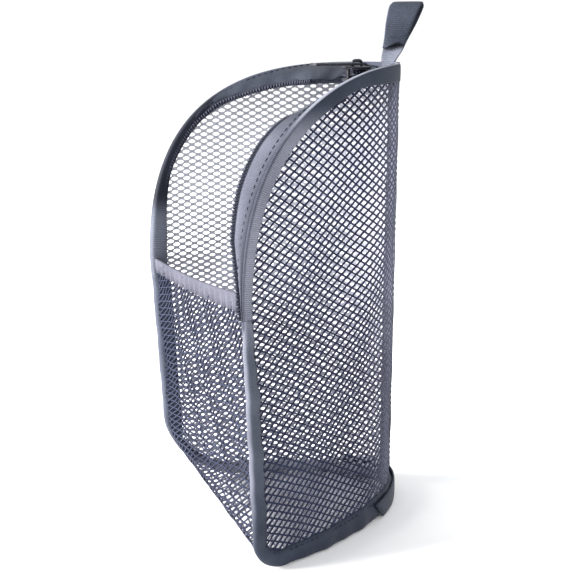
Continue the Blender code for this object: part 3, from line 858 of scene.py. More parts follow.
def stitch_row(name, lines):
    """Rows of stitches: one small spindle, copied along each line and half sunk in the cloth it lies on."""
    bpy.ops.mesh.primitive_uv_sphere_add(segments=6, ring_count=4, radius=0.5)
    spindle = bpy.context.object
    shape = positions(spindle) * STITCH_SIZE
    # Blender orders the faces of a sphere anew each time, so they are sorted.
    sides = sorted(list(face.vertices) for face in spindle.data.polygons)
    bpy.data.objects.remove(spindle, do_unlink=True)
    points = []
    for line, outward in lines:
        lengths = lengths_along(line)
        at = np.arange(STITCH_PITCH / 2, lengths[-1], STITCH_PITCH)
        vectors = np.hstack([line, outward, unit(np.gradient(line, axis=0))])
        middle, out, along = np.hsplit(at_lengths(at, lengths, vectors), 3)
        turns = np.stack([along, unit(np.cross(out, along)), out], axis=1)
        points.append((shape @ turns + middle[:, None]).reshape(-1, 3))
    points = np.concatenate(points)
    starts = range(0, len(points), len(shape))
    faces = [[start + corner for corner in side] for start in starts for side in sides]
    mesh = bpy.data.meshes.new(name)
    mesh.from_pydata(points.tolist(), [], faces)
    mesh.materials.append(sewing_thread)
    mesh.shade_smooth()
    stitches = bpy.data.objects.new(name, mesh)
    bpy.context.collection.objects.link(stitches)
    return stitches


binding_satins = {}
for side in (FAR, NEAR):
    name = SIDE_NAME[side] + "_binding"
    satin = ribbed_cloth(
        name + "_satin", BINDING_TONES[side], BINDING_RIBS, BINDING_ROUGHNESS, BINDING_LIGHT_AND_SHADE_STEPS[side]
    )
    paint_edge_light_and_shade(satin, BINDING_EDGE_HIGHLIGHT_AND_SHADE[side], BINDING_EDGE, BINDING_SPREAD, *BINDING_EDGE_RISE)
    binding_satins[side] = satin
    binding, rows = wall_tape(
        name, side, edge_outline(), BINDING_WIDTHS[side], BINDING_THICKNESS[side],
        BINDING_SECTION, BINDING_SEAM, BINDING_SPREAD, BINDING_WAVE,
    )
    binding.data.materials.append(satin)
    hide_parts(SIDE_NAME[side] + "_edge_binding")
    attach(binding, SIDE_BODY[side])
    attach(stitch_row(SIDE_NAME[side] + "_binding_stitches", rows), SIDE_BODY[side])

# Rim ribbons: ribbed grosgrain folded over the edge of each side's net, from the hem over to the back seam.
# The zip is sewn in between its two layers.
RIBBON_THICKNESS = {
    NEAR: ((0, 0.0026), (0.1, 0.0024), (0.6, 0.0024), (0.85, 0.0020), (1, 0.0020)),
    FAR: ((0, 0.0044), (0.14, 0.0046), (0.3, 0.0032), (0.5, 0.0030), (0.8, 0.0020), (1, 0.0018)),
}
# The far ribbon's tones are a darker copy of the near one's: painted shade.
RIBBON_TONES = {
    NEAR: ((0.16, 0.168, 0.215), (0.245, 0.255, 0.315)),
    FAR: ((0.10, 0.11, 0.145), (0.15, 0.163, 0.21)),
}
RIBBON_SMOOTH = {NEAR: ((0, 0, 1), 0.147, 0.161), FAR: ((0, 0, 1), 0.110, 0.122)}
# Painted shade past soft steps: each ribbon is painted dark over the top of the rim, the far one darkest,
# then a little lighter again at the very top.
RIBBON_SHADE_STEPS = {
    NEAR: ((*RIBBON_SMOOTH[NEAR], ((0.012, 0.018, 0.030), (0.024, 0.032, 0.050))),),
    FAR: (
        (*RIBBON_SMOOTH[FAR], ((0.005, 0.007, 0.013), (0.012, 0.015, 0.026))),
        ((0, 0, 1), 0.156, 0.166, ((0.035, 0.042, 0.062), (0.060, 0.068, 0.096))),
    ),
}
RIBBON_SPREAD = 0.006
RIBBON_SECTION = (13, 4.0)
RIBBON_SEAM = 0.78
RIBBON_RIBS = (0.0007, 0.00018, 0.64)
# Near ribbon: painted shade along its outer edge lower down, and a thin painted highlight along that edge at
# the top.
RIBBON_EDGE_SHADE_AND_HIGHLIGHT = {
    NEAR: (
        (((0.030, 0.034, 0.052), (0.055, 0.061, 0.085)), 0.0018, RIBBON_SPREAD, 0.161, 0.147),
        (((0.16, 0.17, 0.21), (0.24, 0.25, 0.30)), 0.0009, RIBBON_SPREAD, 0.152, 0.162),
    ),
    FAR: (),
}
RIBBON_TUCK = 0.005
RIBBON_TUCK_STEPS = 6


def join_side(piece, side):
    """A piece of a rim: the far one rides the bag. The near one bends at its back end, by the slider, so it
    is left unattached where it is.
    """
    if side == NEAR:
        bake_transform(piece)
    else:
        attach(piece, "bag")


def ribbon_outline():
    """The rim, begun a little lower so that the ribbon's end is tucked into the binding."""
    heights = np.linspace(RIM_START - RIBBON_TUCK, RIM_START, RIBBON_TUCK_STEPS)[:-1]
    tuck = np.stack([depth_at(heights), heights], axis=1)
    return np.concatenate([tuck, rim_outline()])


for side in (FAR, NEAR):
    name = SIDE_NAME[side] + "_ribbon"
    ribbon, rows = wall_tape(
        name, side, ribbon_outline(), RIBBON_WIDTHS[side], RIBBON_THICKNESS[side],
        RIBBON_SECTION, RIBBON_SEAM, RIBBON_SPREAD,
    )
    grosgrain = ribbed_cloth(
        name + "_grosgrain", RIBBON_TONES[side], RIBBON_RIBS,
        steps=RIBBON_SHADE_STEPS[side], smooth_past=RIBBON_SMOOTH[side],
    )
    for edge in RIBBON_EDGE_SHADE_AND_HIGHLIGHT[side]:
        paint_edge_light_and_shade(grosgrain, *edge)
    ribbon.data.materials.append(grosgrain)
    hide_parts(SIDE_NAME[side] + "_rim_ribbon")
    join_side(ribbon, side)
    join_side(stitch_row(name + "_stitches", rows), side)

# Zip facings: a ribbed strip on each side that carries the zip and is caught under the ribbon's outer edge.
# The near one stands out at the front and turns down inside at the back. The far one leans into the mouth.
ZIP_STEPS = 170
ZIP_PART_DEPTH = 0.0205
ZIP_SUNK = 0.0005
ZIP_SPREAD = 0.005
ZIP_REACHES = {
    NEAR: (
        (0, 0.0008), (0.0076, 0.0012), (0.0185, 0.0030), (0.026, 0.0050), (0.041, 0.0068), (0.07, 0.0098),
        (0.095, 0.0104), (0.106, 0.0124), (0.117, 0.0150), (0.125, 0.0120), (0.136, 0.0075), (0.15, 0.004),
    ),
    FAR: (
        (0, 0.0020), (0.06, 0.0022), (0.075, 0.0036), (0.090, 0.0090), (0.100, 0.0110), (0.108, 0.0145),
        (0.116, 0.0195), (0.124, 0.0185), (0.135, 0.0140), (0.15, 0.006),
    ),
}
ZIP_FLARES = {
    NEAR: ((0, 41), (0.041, 30), (0.0585, 10), (0.0726, -10), (0.0878, -48), (0.103, -45), (0.117, -21)),
    FAR: (
        (0, -70), (0.06, -65), (0.08, -40), (0.09, -30), (0.100, -28), (0.108, -21), (0.116, -16),
        (0.135, -22), (0.15, -30),
    ),
}
FACING_END_DEPTH = 0.0040
FACING_SHORT = 0.0010
FACING_LEAST = 0.0005
FACING_THICKNESS = 0.0009
FACING_SECTION = (9, 3.0)
FACING_BULGE = 0.0005
FACING_SEAM = 0.0013
SEAM_RISE = 0.0003
FACING_WRINKLES = {NEAR: 0.0, FAR: 0.0005}
WRINKLE_TURNS = (0.42, 0.13)
WRINKLE_SLANT = 3
# The far facing's tones are a dark copy of the near one's: painted shade over its shaded inner side.
FACING_TONES = {
    NEAR: ((0.070, 0.075, 0.102), (0.110, 0.116, 0.152)),
    FAR: ((0.011, 0.014, 0.024), (0.032, 0.038, 0.056)),
}
FACING_RIBS = {NEAR: (0.0006, 0.00010, 0.78), FAR: (0.0006, 0.00002, 0.94)}
# Painted shade past a soft step: the near facing takes the far one's dark tones over the top of the rim.
FACING_SHADE_STEPS = {NEAR: (((0, 0, 1), 0.147, 0.160, FACING_TONES[FAR]),), FAR: ()}


def zip_way(side, end_depth):
    """Where one half of the zip leaves the rim, the way it stands, its face, its reach and its length."""
    outline = rim_outline()
    edge, shares, length = evenly(side, outline[outline[:, 0] > end_depth], ZIP_STEPS)
    here = wall(side, edge)
    out = unit(here - wall(side, inward(edge, ZIP_SUNK)))
    along = unit(np.gradient(here, axis=0))
    across = unit(np.cross(out, along))
    across *= -np.sign(across[:, :1] * side)
    flare = np.radians(width_along(ZIP_FLARES[side], shares * length))[:, None]
    stand = across * np.cos(flare) + out * np.sin(flare)
    face = unit(np.cross(stand, along))
    face *= np.sign(np.sum(face * out, axis=1))[:, None]
    reach = width_along(ZIP_REACHES[side], shares * length)
    return here - out * ZIP_SUNK, stand, face, reach + ZIP_SUNK, length


def zip_strip(name, way, first, last, thickness, section, bulge=0.0, wrinkle=0.0):
    """A strip of the zip between two distances from the rim, thickened to both faces, bulging or wrinkled."""
    start, stand, face = way[:3]
    fine, coarse = WRINKLE_TURNS

    def strip_place(row, across, half):
        distance = blend(first[row], last[row], across)
        swell = half * thickness / 2 + bulge * np.sin(math.pi * across)
        swell += wrinkle * np.sin(fine * row + WRINKLE_SLANT * across) * np.sin(coarse * row) * across
        return start[row] + stand[row] * distance[:, None] + face[row] * swell[:, None]

    return sew_strip(name, round_section(*section), ZIP_STEPS, strip_place, ZIP_SPREAD, way[-1])


facing_weaves = {}
for side in (FAR, NEAR):
    name = SIDE_NAME[side] + "_facing"
    way = zip_way(side, FACING_END_DEPTH)
    start, stand, face, reach = way[:4]
    free_edge = np.maximum(reach - FACING_SHORT, FACING_LEAST)
    facing = zip_strip(
        name, way, 0 * reach, free_edge, FACING_THICKNESS, FACING_SECTION, FACING_BULGE, FACING_WRINKLES[side]
    )
    facing_weaves[side] = ribbed_cloth(
        name + "_weave", FACING_TONES[side], FACING_RIBS[side], steps=FACING_SHADE_STEPS[side]
    )
    facing.data.materials.append(facing_weaves[side])
    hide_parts(SIDE_NAME[side] + "_zip_facing")
    join_side(facing, side)
    seam = start + stand * (ZIP_SUNK + FACING_SEAM) + face * (FACING_THICKNESS / 2 + SEAM_RISE)
    join_side(stitch_row(name + "_stitches", [(seam, face)]), side)

# Zip tapes: the narrow dark woven tape of each half, with its coil sewn along the edge.
# The tape is sewn under the facing's free edge.
TAPE_THICKNESS = 0.0007
TAPE_SECTION = (9, 4.0)
TAPE_UNDER = 0.0030
TAPE_PAST = 0.0003
TAPE_RIBS = (0.0005, 0.00008, 0.7)
TAPE_TONES = ((0.010, 0.012, 0.022), (0.022, 0.026, 0.042))
ZIP_WAYS = {side: zip_way(side, ZIP_PART_DEPTH) for side in (FAR, NEAR)}
tape_weave = ribbed_cloth("zip_tape_weave", TAPE_TONES, TAPE_RIBS)
for side, way in ZIP_WAYS.items():
    reach = way[3]
    under = np.maximum(reach - TAPE_UNDER, 0)
    tape = zip_strip(SIDE_NAME[side] + "_tape", way, under, reach + TAPE_PAST, TAPE_THICKNESS, TAPE_SECTION)
    tape.data.materials.append(tape_weave)
    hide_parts(SIDE_NAME[side] + "_zip_tape")
    join_side(tape, side)

# Zip coils: a nylon thread wound in a close spiral along the edge of each tape.
# The two are the halves of the zip and run into the slider's mouth.
COIL_RADIUS = 0.00058
COIL_PITCH = 0.00115
COIL_POINTS = 10
COIL_WIRE = 0.00042
COIL_ROUGHNESS = 0.5
COIL_GLOSS = 0.3
COIL_SCALES = (300.0, 3000.0)
COIL_TONES = ((0.014, 0.017, 0.032), (0.036, 0.041, 0.066))


def curves_to_mesh(name, lines, closed=False, **settings):
    """A bevelled curve through each line of points, all turned into one mesh."""
    curve = bpy.data.curves.new(name, "CURVE")
    for setting, value in settings.items():
        setattr(curve, setting, value)
    for line in lines:
        spline = curve.splines.new("POLY")
        spline.points.add(len(line) - 1)
        spline.points.foreach_set("co", np.column_stack([line, np.ones(len(line))]).ravel())
        spline.use_cyclic_u = closed
    piece = bpy.data.objects.new(name, curve)
    bpy.context.collection.objects.link(piece)
    choose(piece)
    bpy.ops.object.convert(target="MESH")
    return piece


def wound_coil(name, line, side_way, face_way, radius, pitch):
    """A thread wound round a line: a helix with a round bevel."""
    lengths = lengths_along(line)
    at = np.linspace(0, lengths[-1], int(lengths[-1] / pitch * COIL_POINTS))
    vectors = at_lengths(at, lengths, np.hstack([line, side_way, face_way]))
    middle, sideways, upwards = np.hsplit(vectors, 3)
    turn = (2 * math.pi * at / pitch)[:, None]
    helix = middle + radius * (np.cos(turn) * sideways + np.sin(turn) * upwards)
    coil = curves_to_mesh(name, [helix], dimensions="3D", bevel_depth=COIL_WIRE, bevel_resolution=0)
    coil.data.shade_smooth()
    return coil


coil_nylon, tree, surface = new_material("coil_nylon", COIL_ROUGHNESS, gloss=COIL_GLOSS)
tree.links.new(fibre_tone(tree, COIL_TONES, COIL_SCALES)["Colour"], surface["Base Color"])
for side, way in ZIP_WAYS.items():
    start, stand, face, reach = way[:4]
    coil_line = start + stand * reach[:, None]
    coil = wound_coil(SIDE_NAME[side] + "_coil", coil_line, stand, face, COIL_RADIUS, COIL_PITCH)
    coil.data.materials.append(coil_nylon)
    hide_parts(SIDE_NAME[side] + "_zip_coil")
    join_side(coil, side)

# Web at the zip's end: a piece of the facing cloth that joins the two rims over the back.
# It hangs a little between them and carries the last, closed teeth.
WEB_BACK = 0.0026
WEB_DEPTH = 0.0180
WEB_DROP = 0.0050
WEB_EDGE_DROP = 0.0016
WEB_SAG_POWER = 2.5
WEB_THICKNESS = 0.0009
WEB_SECTION = (9, 4.0)
WEB_STEPS = 40
WEB_LENGTH = 0.04


def web_place(row, across, half):
    """Places the web between the two rims."""
    side = 2 * row / WEB_STEPS - 1
    distance = blend(WEB_BACK, WEB_DEPTH, across)
    height = BODY_HEIGHT - blend(WEB_DROP, WEB_EDGE_DROP, np.abs(side) ** WEB_SAG_POWER)
    reach = inside_half_width(distance, height)
    return np.stack([side * reach, BACK_Y - distance, height + half * WEB_THICKNESS / 2], axis=1)


web = sew_strip("zip_web", round_section(*WEB_SECTION), WEB_STEPS, web_place, WEB_DEPTH, WEB_LENGTH)
# The web takes the far facing's cloth, painted dark as shade.
web.data.materials.append(facing_weaves[FAR])
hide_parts("zip_end_web")
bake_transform(web)

# Closed teeth: the last two rows of the coil, meshed together on the web behind the slider.
# They are the same nylon as the coils.
CHAIN_BACK = 0.0060
CHAIN_FRONT = 0.0165
CHAIN_HEIGHT = 0.0013
CHAIN_GAP = 0.00055
CHAIN_POINTS = 24
CHAIN_RADIUS = 0.0010
CHAIN_PITCH = 0.0011
CHAIN_FLATNESS = 0.7


def join_pieces(name, pieces, material):
    """Several meshes made into one smooth piece of one material."""
    choose(*pieces)
    bpy.ops.object.join()
    whole = pieces[0]
    whole.name = name
    whole.data.name = name
    whole.data.materials.clear()
    whole.data.materials.append(material)
    whole.data.shade_smooth()
    return whole


chain_rows = []
for side in (FAR, NEAR):
    chain_line = np.zeros((CHAIN_POINTS, 3))
    chain_line[:, 0] = side * CHAIN_GAP
    chain_line[:, 1] = np.linspace(BACK_Y - CHAIN_BACK, BACK_Y - CHAIN_FRONT, CHAIN_POINTS)
    chain_line[:, 2] = BODY_HEIGHT - WEB_DROP + CHAIN_HEIGHT
    side_way = np.tile((side, 0.0, 0.0), (CHAIN_POINTS, 1))
    face_way = np.tile((0.0, 0.0, CHAIN_FLATNESS), (CHAIN_POINTS, 1))
    chain_rows.append(wound_coil("chain_row", chain_line, side_way, face_way, CHAIN_RADIUS, CHAIN_PITCH))
chain = join_pieces("closed_teeth", chain_rows, coil_nylon)
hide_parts("zip_closed_chain")
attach(chain, "bag")

# Slider: a small painted cast slider of two plates joined by a post, with a bridge on top for the pull.
# It rides on the closed teeth at the back of the mouth.
SLIDER_FRONT = 0.0199
SLIDER_BACK = 0.0289
SLIDER_HALF = 0.0037
SLIDER_NOSE = 0.8
SLIDER_EDGE = 0.0004
SLIDER_EDGE_STEPS = 3
LOW_PLATE = (0.1652, 0.1663)
HIGH_PLATE = (0.1696, 0.1707)
POST_HALF = 0.0009
POST_FRONT = SLIDER_FRONT + 0.0001
POST_BACK = SLIDER_FRONT + 0.0011
POST_EDGE = 0.0001
BRIDGE_RISE = 0.0024
BRIDGE_HALF = 0.0026
BRIDGE_WIRE = 0.0006
BRIDGE_SUNK = 0.0003
BRIDGE_POINTS = 15
BRIDGE_SQUARENESS = (0.5, 0.6)
WIRE_ROUNDNESS = 3
PAINT_ROUGHNESS = 0.35
PAINT_METALLIC = 0.5
PAINT_SCALES = (500.0, 4000.0)
PAINT_BUMP = {"Strength": 0.25, "Distance": 0.0001}
PAINT_TONES = ((0.018, 0.019, 0.026), (0.045, 0.048, 0.060))


def block(name, low, high, tail=1.0, edge=SLIDER_EDGE):
    """A block between two corners with rounded edges, its back end drawn in to a share of its width."""
    bpy.ops.mesh.primitive_cube_add(size=1)
    made = bpy.context.object
    made.name = name
    share = positions(made) + 0.5
    at = blend(np.array(low), np.array(high), share)
    at[:, 0] *= blend(1.0, tail, share[:, 1])
    set_positions(made, at)
    apply_modifier(made, "BEVEL", width=edge, segments=SLIDER_EDGE_STEPS, limit_method="ANGLE")
    return made


def round_wire(name, points, radius):
    """A bent round wire with closed ends."""
    settings = {"bevel_depth": radius, "bevel_resolution": WIRE_ROUNDNESS, "use_fill_caps": True}
    return curves_to_mesh(name, [points], dimensions="3D", **settings)


def bridge_points():
    """The middle line of the bridge: a flat arch over the top plate."""
    flat_power, rise_power = BRIDGE_SQUARENESS
    middle = (SLIDER_FRONT + SLIDER_BACK) / 2
    points = []
    for angle in np.linspace(0, math.pi, BRIDGE_POINTS):
        bend = np.sign(math.cos(angle)) * abs(math.cos(angle)) ** flat_power
        rise = BRIDGE_RISE * math.sin(angle) ** rise_power - BRIDGE_SUNK
        points.append((0.0, middle - (BRIDGE_HALF - BRIDGE_WIRE) * bend, HIGH_PLATE[1] + rise))
    return points


def painted_metal():
    """Dark paint on cast metal, a little uneven, worn lighter in fine specks."""
    made, tree, surface = new_material("slider_paint", PAINT_ROUGHNESS, metallic=PAINT_METALLIC)
    paint = fibre_tone(tree, PAINT_TONES, PAINT_SCALES)
    bump = shader_node(tree, "Bump", {"Height": paint["Tone"], **PAINT_BUMP})["Normal"]
    tree.links.new(paint["Colour"], surface["Base Color"])
    tree.links.new(bump, surface["Normal"])
    return made


slider_paint = painted_metal()
slider_parts = [
    block("plate", (-SLIDER_HALF, SLIDER_FRONT, low), (SLIDER_HALF, SLIDER_BACK, high), SLIDER_NOSE)
    for low, high in (LOW_PLATE, HIGH_PLATE)
]
post_low = (-POST_HALF, POST_FRONT, LOW_PLATE[1])
post_high = (POST_HALF, POST_BACK, HIGH_PLATE[0])
slider_parts.append(block("post", post_low, post_high, edge=POST_EDGE))
slider_parts.append(round_wire("bridge", bridge_points(), BRIDGE_WIRE))
slider = join_pieces("slider", slider_parts, slider_paint)
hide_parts("zip_slider")
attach(slider, "zip_slider")

# Pull: a flat stamped tab of the same painted metal.
# It hangs on the slider's bridge by the window at its head and lies forward over the open mouth.
PULL_PIVOT_Y = 0.0244
PULL_PIVOT_Z = 0.17155
PULL_LENGTH = 0.0190
PULL_WIDTH = 0.0052
PULL_THICKNESS = 0.0010
PULL_RADIUS = 0.0012
PULL_EDGE = 0.0002
PULL_EDGE_STEPS = 2
PULL_RAIL = 0.0011
WINDOW_LENGTH = 0.0036
WINDOW_RADIUS = 0.0005
HOLE_ENDS = (0.0016, 0.0052)
HOLE_RADIUS = 0.0009
ROUND_POINTS = 6


def rounded_rectangle(half_width, front, back, radius):
    """Points of a rectangle with round corners, seen from above."""
    points = []
    quarters = ((1, back - radius), (-1, back - radius), (-1, front + radius), (1, front + radius))
    for quarter, (across, along) in enumerate(quarters):
        for angle in np.linspace(0, math.pi / 2, ROUND_POINTS) + quarter * math.pi / 2:
            x = across * (half_width - radius) + radius * math.cos(angle)
            points.append((x, along + radius * math.sin(angle), 0.0))
    return points


pull_head = PULL_PIVOT_Y + PULL_THICKNESS / 2
pull_foot = PULL_PIVOT_Y - PULL_LENGTH
window_back = PULL_PIVOT_Y - PULL_THICKNESS / 2
pull_outlines = (
    rounded_rectangle(PULL_WIDTH / 2, pull_foot, pull_head, PULL_RADIUS),
    rounded_rectangle(PULL_WIDTH / 2 - PULL_RAIL, window_back - WINDOW_LENGTH, window_back, WINDOW_RADIUS),
    rounded_rectangle(PULL_WIDTH / 4, pull_foot + HOLE_ENDS[0], pull_foot + HOLE_ENDS[1], HOLE_RADIUS),
)
pull = curves_to_mesh(
    "pull",
    pull_outlines,
    closed=True,
    dimensions="2D",
    fill_mode="BOTH",
    bevel_depth=PULL_EDGE,
    bevel_resolution=PULL_EDGE_STEPS,
    extrude=PULL_THICKNESS / 2 - PULL_EDGE,
    offset=-PULL_EDGE,
)
set_positions(pull, positions(pull) + (0, 0, PULL_PIVOT_Z))
pull.data.materials.append(slider_paint)
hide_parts("pull_tab")
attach(pull, "zip_pull")

# Back tape: a flat binding tape sewn over the seam where the two sides meet, from the lap up to the rim.
# It bends a little round the narrow back.
OUTER_FACE = 0.0014
BACK_TAPE_WIDTH = 0.0070
BACK_TAPE_THICKNESS = 0.0011
BACK_TAPE_SECTION = (9, 3.0)
BACK_TAPE_BEND = 0.0005
BACK_TAPE_FOOT = 0.0080
BACK_TAPE_STEPS = 60
BACK_TAPE_RIPPLE = 0.0002
BACK_TAPE_RIPPLE_LENGTH = 0.023
BACK_SEAM_PLACES = (-0.7, 0.7)
BACK_SEAM_HEIGHTS = (BACK_TAPE_FOOT + 0.003, BODY_HEIGHT - 0.001)
BACK_SEAM_STAND = 0.95


def back_tape_place(row, across, half):
    """Places the tape up the back seam."""
    side = 2 * across - 1
    height = blend(BACK_TAPE_FOOT, BODY_HEIGHT, row / BACK_TAPE_STEPS)
    ripple = BACK_TAPE_RIPPLE * np.sin(2 * math.pi * height / BACK_TAPE_RIPPLE_LENGTH) * side
    stand = OUTER_FACE + (1 + half) * BACK_TAPE_THICKNESS / 2 - BACK_TAPE_BEND * side**2 + ripple
    return np.stack([side * BACK_TAPE_WIDTH / 2, BACK_Y + stand, height], axis=1)


section = round_section(*BACK_TAPE_SECTION)
back_tape = sew_strip("back_tape", section, BACK_TAPE_STEPS, back_tape_place, BACK_TAPE_WIDTH, BODY_HEIGHT)
# The tape takes the near binding's satin, with that satin's painted light up its height and painted highlight
# along one edge.
back_tape.data.materials.append(binding_satins[NEAR])
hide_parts("back_seam_tape")
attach(back_tape, "bag")
seams = []
for side in BACK_SEAM_PLACES:
    stand = OUTER_FACE + BACK_TAPE_THICKNESS * BACK_SEAM_STAND - BACK_TAPE_BEND * side**2
    seam = np.tile((side * BACK_TAPE_WIDTH / 2, BACK_Y + stand, 0.0), (BACK_TAPE_STEPS, 1))
    seam[:, 2] = np.linspace(*BACK_SEAM_HEIGHTS, BACK_TAPE_STEPS)
    seams.append((seam, np.tile((0.0, 1.0, 0.0), (BACK_TAPE_STEPS, 1))))
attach(stitch_row("back_tape_stitches", seams), "bag")

# Binding lap: the joined end of the binding, folded over the foot of the back seam and stitched down.
# It stands a little proud of the bindings that it covers, and its top slopes down to them at both ends.
LAP_HEIGHT = 0.0092
LAP_END_HEIGHT = 0.0074
LAP_SLOPE_POWER = 1.5
LAP_REACHES = {NEAR: 0.0235, FAR: 0.0095}
LAP_SLANT = 0.26
LAP_THICKNESS = 0.0013
LAP_SECTION = (11, 3.2)
LAP_STEPS = 60
LAP_LENGTH = 0.038


def lap_place(row, across, half):
    """Places the lap round the foot of the back, its near end cut on a slant."""
    turn = 2 * row / LAP_STEPS - 1
    near_reach = LAP_REACHES[NEAR] * (1 - LAP_SLANT * (1 - across))
    distance = np.where(turn > 0, near_reach, LAP_REACHES[FAR]) * turn**2
    stand = OUTER_FACE + (1 + half) * LAP_THICKNESS / 2
    reach = (HALF_WIDTH + stand) * rounded(distance / BASE_DEPTH)
    height = blend(LAP_HEIGHT, LAP_END_HEIGHT, np.abs(turn) ** LAP_SLOPE_POWER) * across
    return np.stack([np.sign(turn) * reach, BACK_Y + stand - distance, height], axis=1)


lap = sew_strip("binding_lap", round_section(*LAP_SECTION), LAP_STEPS, lap_place, LAP_HEIGHT, LAP_LENGTH)
lap.data.materials.append(binding_satins[NEAR])
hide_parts("binding_end_lap")
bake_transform(lap)

# Hanging loop: flat ribbed webbing that comes up from inside the back seam, turns and folds over on itself.
# Its cut tail hangs in front of the neck and is tacked to it.
STRAP_FOOT_Y = 0.0386
STRAP_FOOT_Z = 0.1640
STRAP_LEAN = 0.36
STRAP_TWIST = math.radians(42)
TWIST_LENGTH = 0.009
TWIST_LEAD = 0.003
STRAP_WIDTHS = (
    (0, 0.0080), (0.0086, 0.0074), (0.0150, 0.0084), (0.0215, 0.0104), (0.0285, 0.0122), (0.0305, 0.0108),
)
STRAP_THICKNESS = 0.0011
STRAP_SECTION = (15, 5.0)
STRAP_SPREAD = 0.012
STRAP_STEPS = 120
STRAP_RISE = 0.0086
NECK_POINTS = 8
LEG_POINTS = 14
TOP_POINTS = 13
TAIL_HEIGHT = 0.0142
TAIL_CLEARANCE = 0.004
TAIL_GAP = 0.0009
LOOP_HEIGHT = 0.0297
LOOP_HALF_GAP = 0.0026
LOOP_OPENING_HASTE = 1.2
STRAP_CUP = 0.0007
CUP_LEVEL = 0.4
CUP_TOP = TAIL_HEIGHT + 0.008
CUP_FADE = 0.01
TAIL_WAVE = 0.0011
TAIL_WAVE_TURN = 2.6
TAIL_WAVE_START = 0.6
TAIL_SHARE = 0.1
STRAP_RIBS = (0.0007, 0.00012, 0.7)
STRAP_SCALES = (90.0, 2500.0)
STRAP_OUTSIDE = ((0.012, 0.016, 0.028), (0.042, 0.049, 0.072))
# Painted light: pale tones for light reflecting off the twisted neck, also used for the painted highlight
# along the edge at the top.
STRAP_PAINTED_HIGHLIGHT = ((0.085, 0.093, 0.122), (0.16, 0.17, 0.21))
# Painted shade inside the loop, above a soft step.
STRAP_LOOP_SHADE = ((0.006, 0.008, 0.015), (0.016, 0.019, 0.030))
STRAP_LOOP_SHADE_STEP = ((0, 0, 1), 0.1755, 0.1785, STRAP_LOOP_SHADE)
STRAP_HIGHLIGHT_WIDTH = 0.0016
STRAP_HIGHLIGHT_RISE = (0.170, 0.171)


def strap_line():
    """The webbing's middle line: height over its foot, and how far it stands forward of the loop's middle."""
    wide = LOOP_HALF_GAP + STRAP_THICKNESS / 2
    shoulder = LOOP_HEIGHT - wide
    heights = np.linspace(TAIL_HEIGHT, shoulder, LEG_POINTS)
    share = (heights - TAIL_HEIGHT) / (shoulder - TAIL_HEIGHT) * LOOP_OPENING_HASTE
    opening = blend(TAIL_GAP, wide, smooth(share))
    points = [(height, 0.0) for height in np.linspace(0, TAIL_HEIGHT - TAIL_CLEARANCE, NECK_POINTS)]
    points += [(height, -stand) for height, stand in zip(heights, opening)]
    for angle in np.linspace(0, math.pi, TOP_POINTS)[1:-1]:
        points.append((shoulder + wide * math.sin(angle), -wide * math.cos(angle)))
    points += [(height, stand) for height, stand in zip(heights[::-1], opening[::-1])]
    lengths = lengths_along(points)
    wanted = np.linspace(0, lengths[-1], STRAP_STEPS + 1)
    return at_lengths(wanted, lengths, np.array(points)), lengths[-1]


STRAP_LINE, STRAP_LENGTH = strap_line()
STRAP_SLOPE = unit(np.gradient(STRAP_LINE, axis=0))


def strap_place(row, across, half):
    """Places the webbing: a cupped neck, the twist above it, and the waved end of the tail."""
    height, stand = STRAP_LINE[row].T
    side = 2 * across - 1
    cup = STRAP_CUP * (side**2 - CUP_LEVEL) * smooth((CUP_TOP - height) / CUP_FADE)
    tail = smooth((row / STRAP_STEPS - 1 + TAIL_SHARE) / TAIL_SHARE)
    wave = TAIL_WAVE * np.sin(TAIL_WAVE_TURN * side + TAIL_WAVE_START) * tail
    swell = half * STRAP_THICKNESS / 2 + cup
    climb = height - swell * STRAP_SLOPE[row, 1] + wave
    forward = stand + swell * STRAP_SLOPE[row, 0]
    twist = STRAP_TWIST * smooth((height - STRAP_RISE + TWIST_LEAD) / TWIST_LENGTH)
    reach = side * width_along(STRAP_WIDTHS, height) / 2
    x = np.cos(twist) * reach + np.sin(twist) * forward
    lean = STRAP_LEAN * np.maximum(climb - STRAP_RISE, 0)
    y = STRAP_FOOT_Y + lean + np.sin(twist) * reach - np.cos(twist) * forward
    return np.stack([x, y, STRAP_FOOT_Z + climb], axis=1)


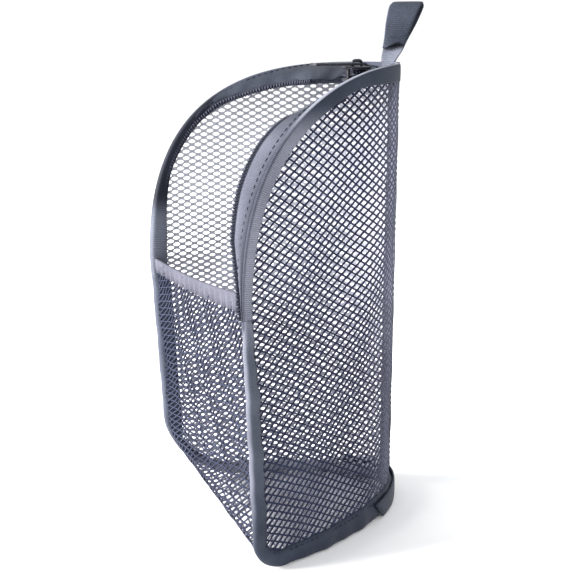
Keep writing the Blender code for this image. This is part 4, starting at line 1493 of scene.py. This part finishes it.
def strap_webbing():
    """Ribbed webbing: slate outside; its inside face painted pale as light reflecting off the twisted neck,
    painted shade inside the loop, and a painted highlight along its outer edge at the top.
    """
    made = ribbed_cloth("strap_webbing", STRAP_OUTSIDE, STRAP_RIBS)
    paint_edge_light_and_shade(made, STRAP_PAINTED_HIGHLIGHT, STRAP_HIGHLIGHT_WIDTH, STRAP_SPREAD, *STRAP_HIGHLIGHT_RISE)
    tree = made.node_tree
    base = tree.nodes["Principled BSDF"].inputs["Base Color"]
    neck = fibre_tone(tree, STRAP_PAINTED_HIGHLIGHT, STRAP_SCALES)["Colour"]
    inside = stepped(tree, neck, [STRAP_LOOP_SHADE_STEP], STRAP_SCALES)
    inner = shader_node(tree, "Math", {0: across_tape(tree), 1: STRAP_SPREAD}, operation="LESS_THAN")[0]
    tree.links.new(mixed(tree, inner, base.links[0].from_socket, inside), base)
    return made


section = round_section(*STRAP_SECTION)
strap = sew_strip("hanging_loop", section, STRAP_STEPS, strap_place, STRAP_SPREAD, STRAP_LENGTH)
strap.data.materials.append(strap_webbing())
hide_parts("hang_loop")
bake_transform(strap)

# Bar tack: a close zigzag of thread across the tail, through both legs of the loop.
# It keeps the fold shut and leaves a short dark line near the tail's end.
TACK_FROM_END = 0.0016
TACK_HEIGHT = 0.0014
TACK_TURNS = 24
TACK_SPAN = 0.72
TACK_PROUD = 1.25
TACK_WIRE = 0.00022
tack_way = np.linspace(0, 1, TACK_TURNS * 2 + 1)
tack_across = 0.5 + TACK_SPAN * (tack_way - 0.5)
tack_low = STRAP_STEPS - int(TACK_FROM_END / STRAP_LENGTH * STRAP_STEPS)
tack_high = tack_low - int(TACK_HEIGHT / STRAP_LENGTH * STRAP_STEPS)
tack_rows = np.where(np.arange(len(tack_way)) % 2 == 0, tack_low, tack_high)
tack_line = strap_place(tack_rows, tack_across, np.full(len(tack_way), TACK_PROUD))
tack = round_wire("bar_tack", tack_line, TACK_WIRE)
tack.data.materials.append(sewing_thread)
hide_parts("loop_bar_tack")
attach(tack, "hang_strap")
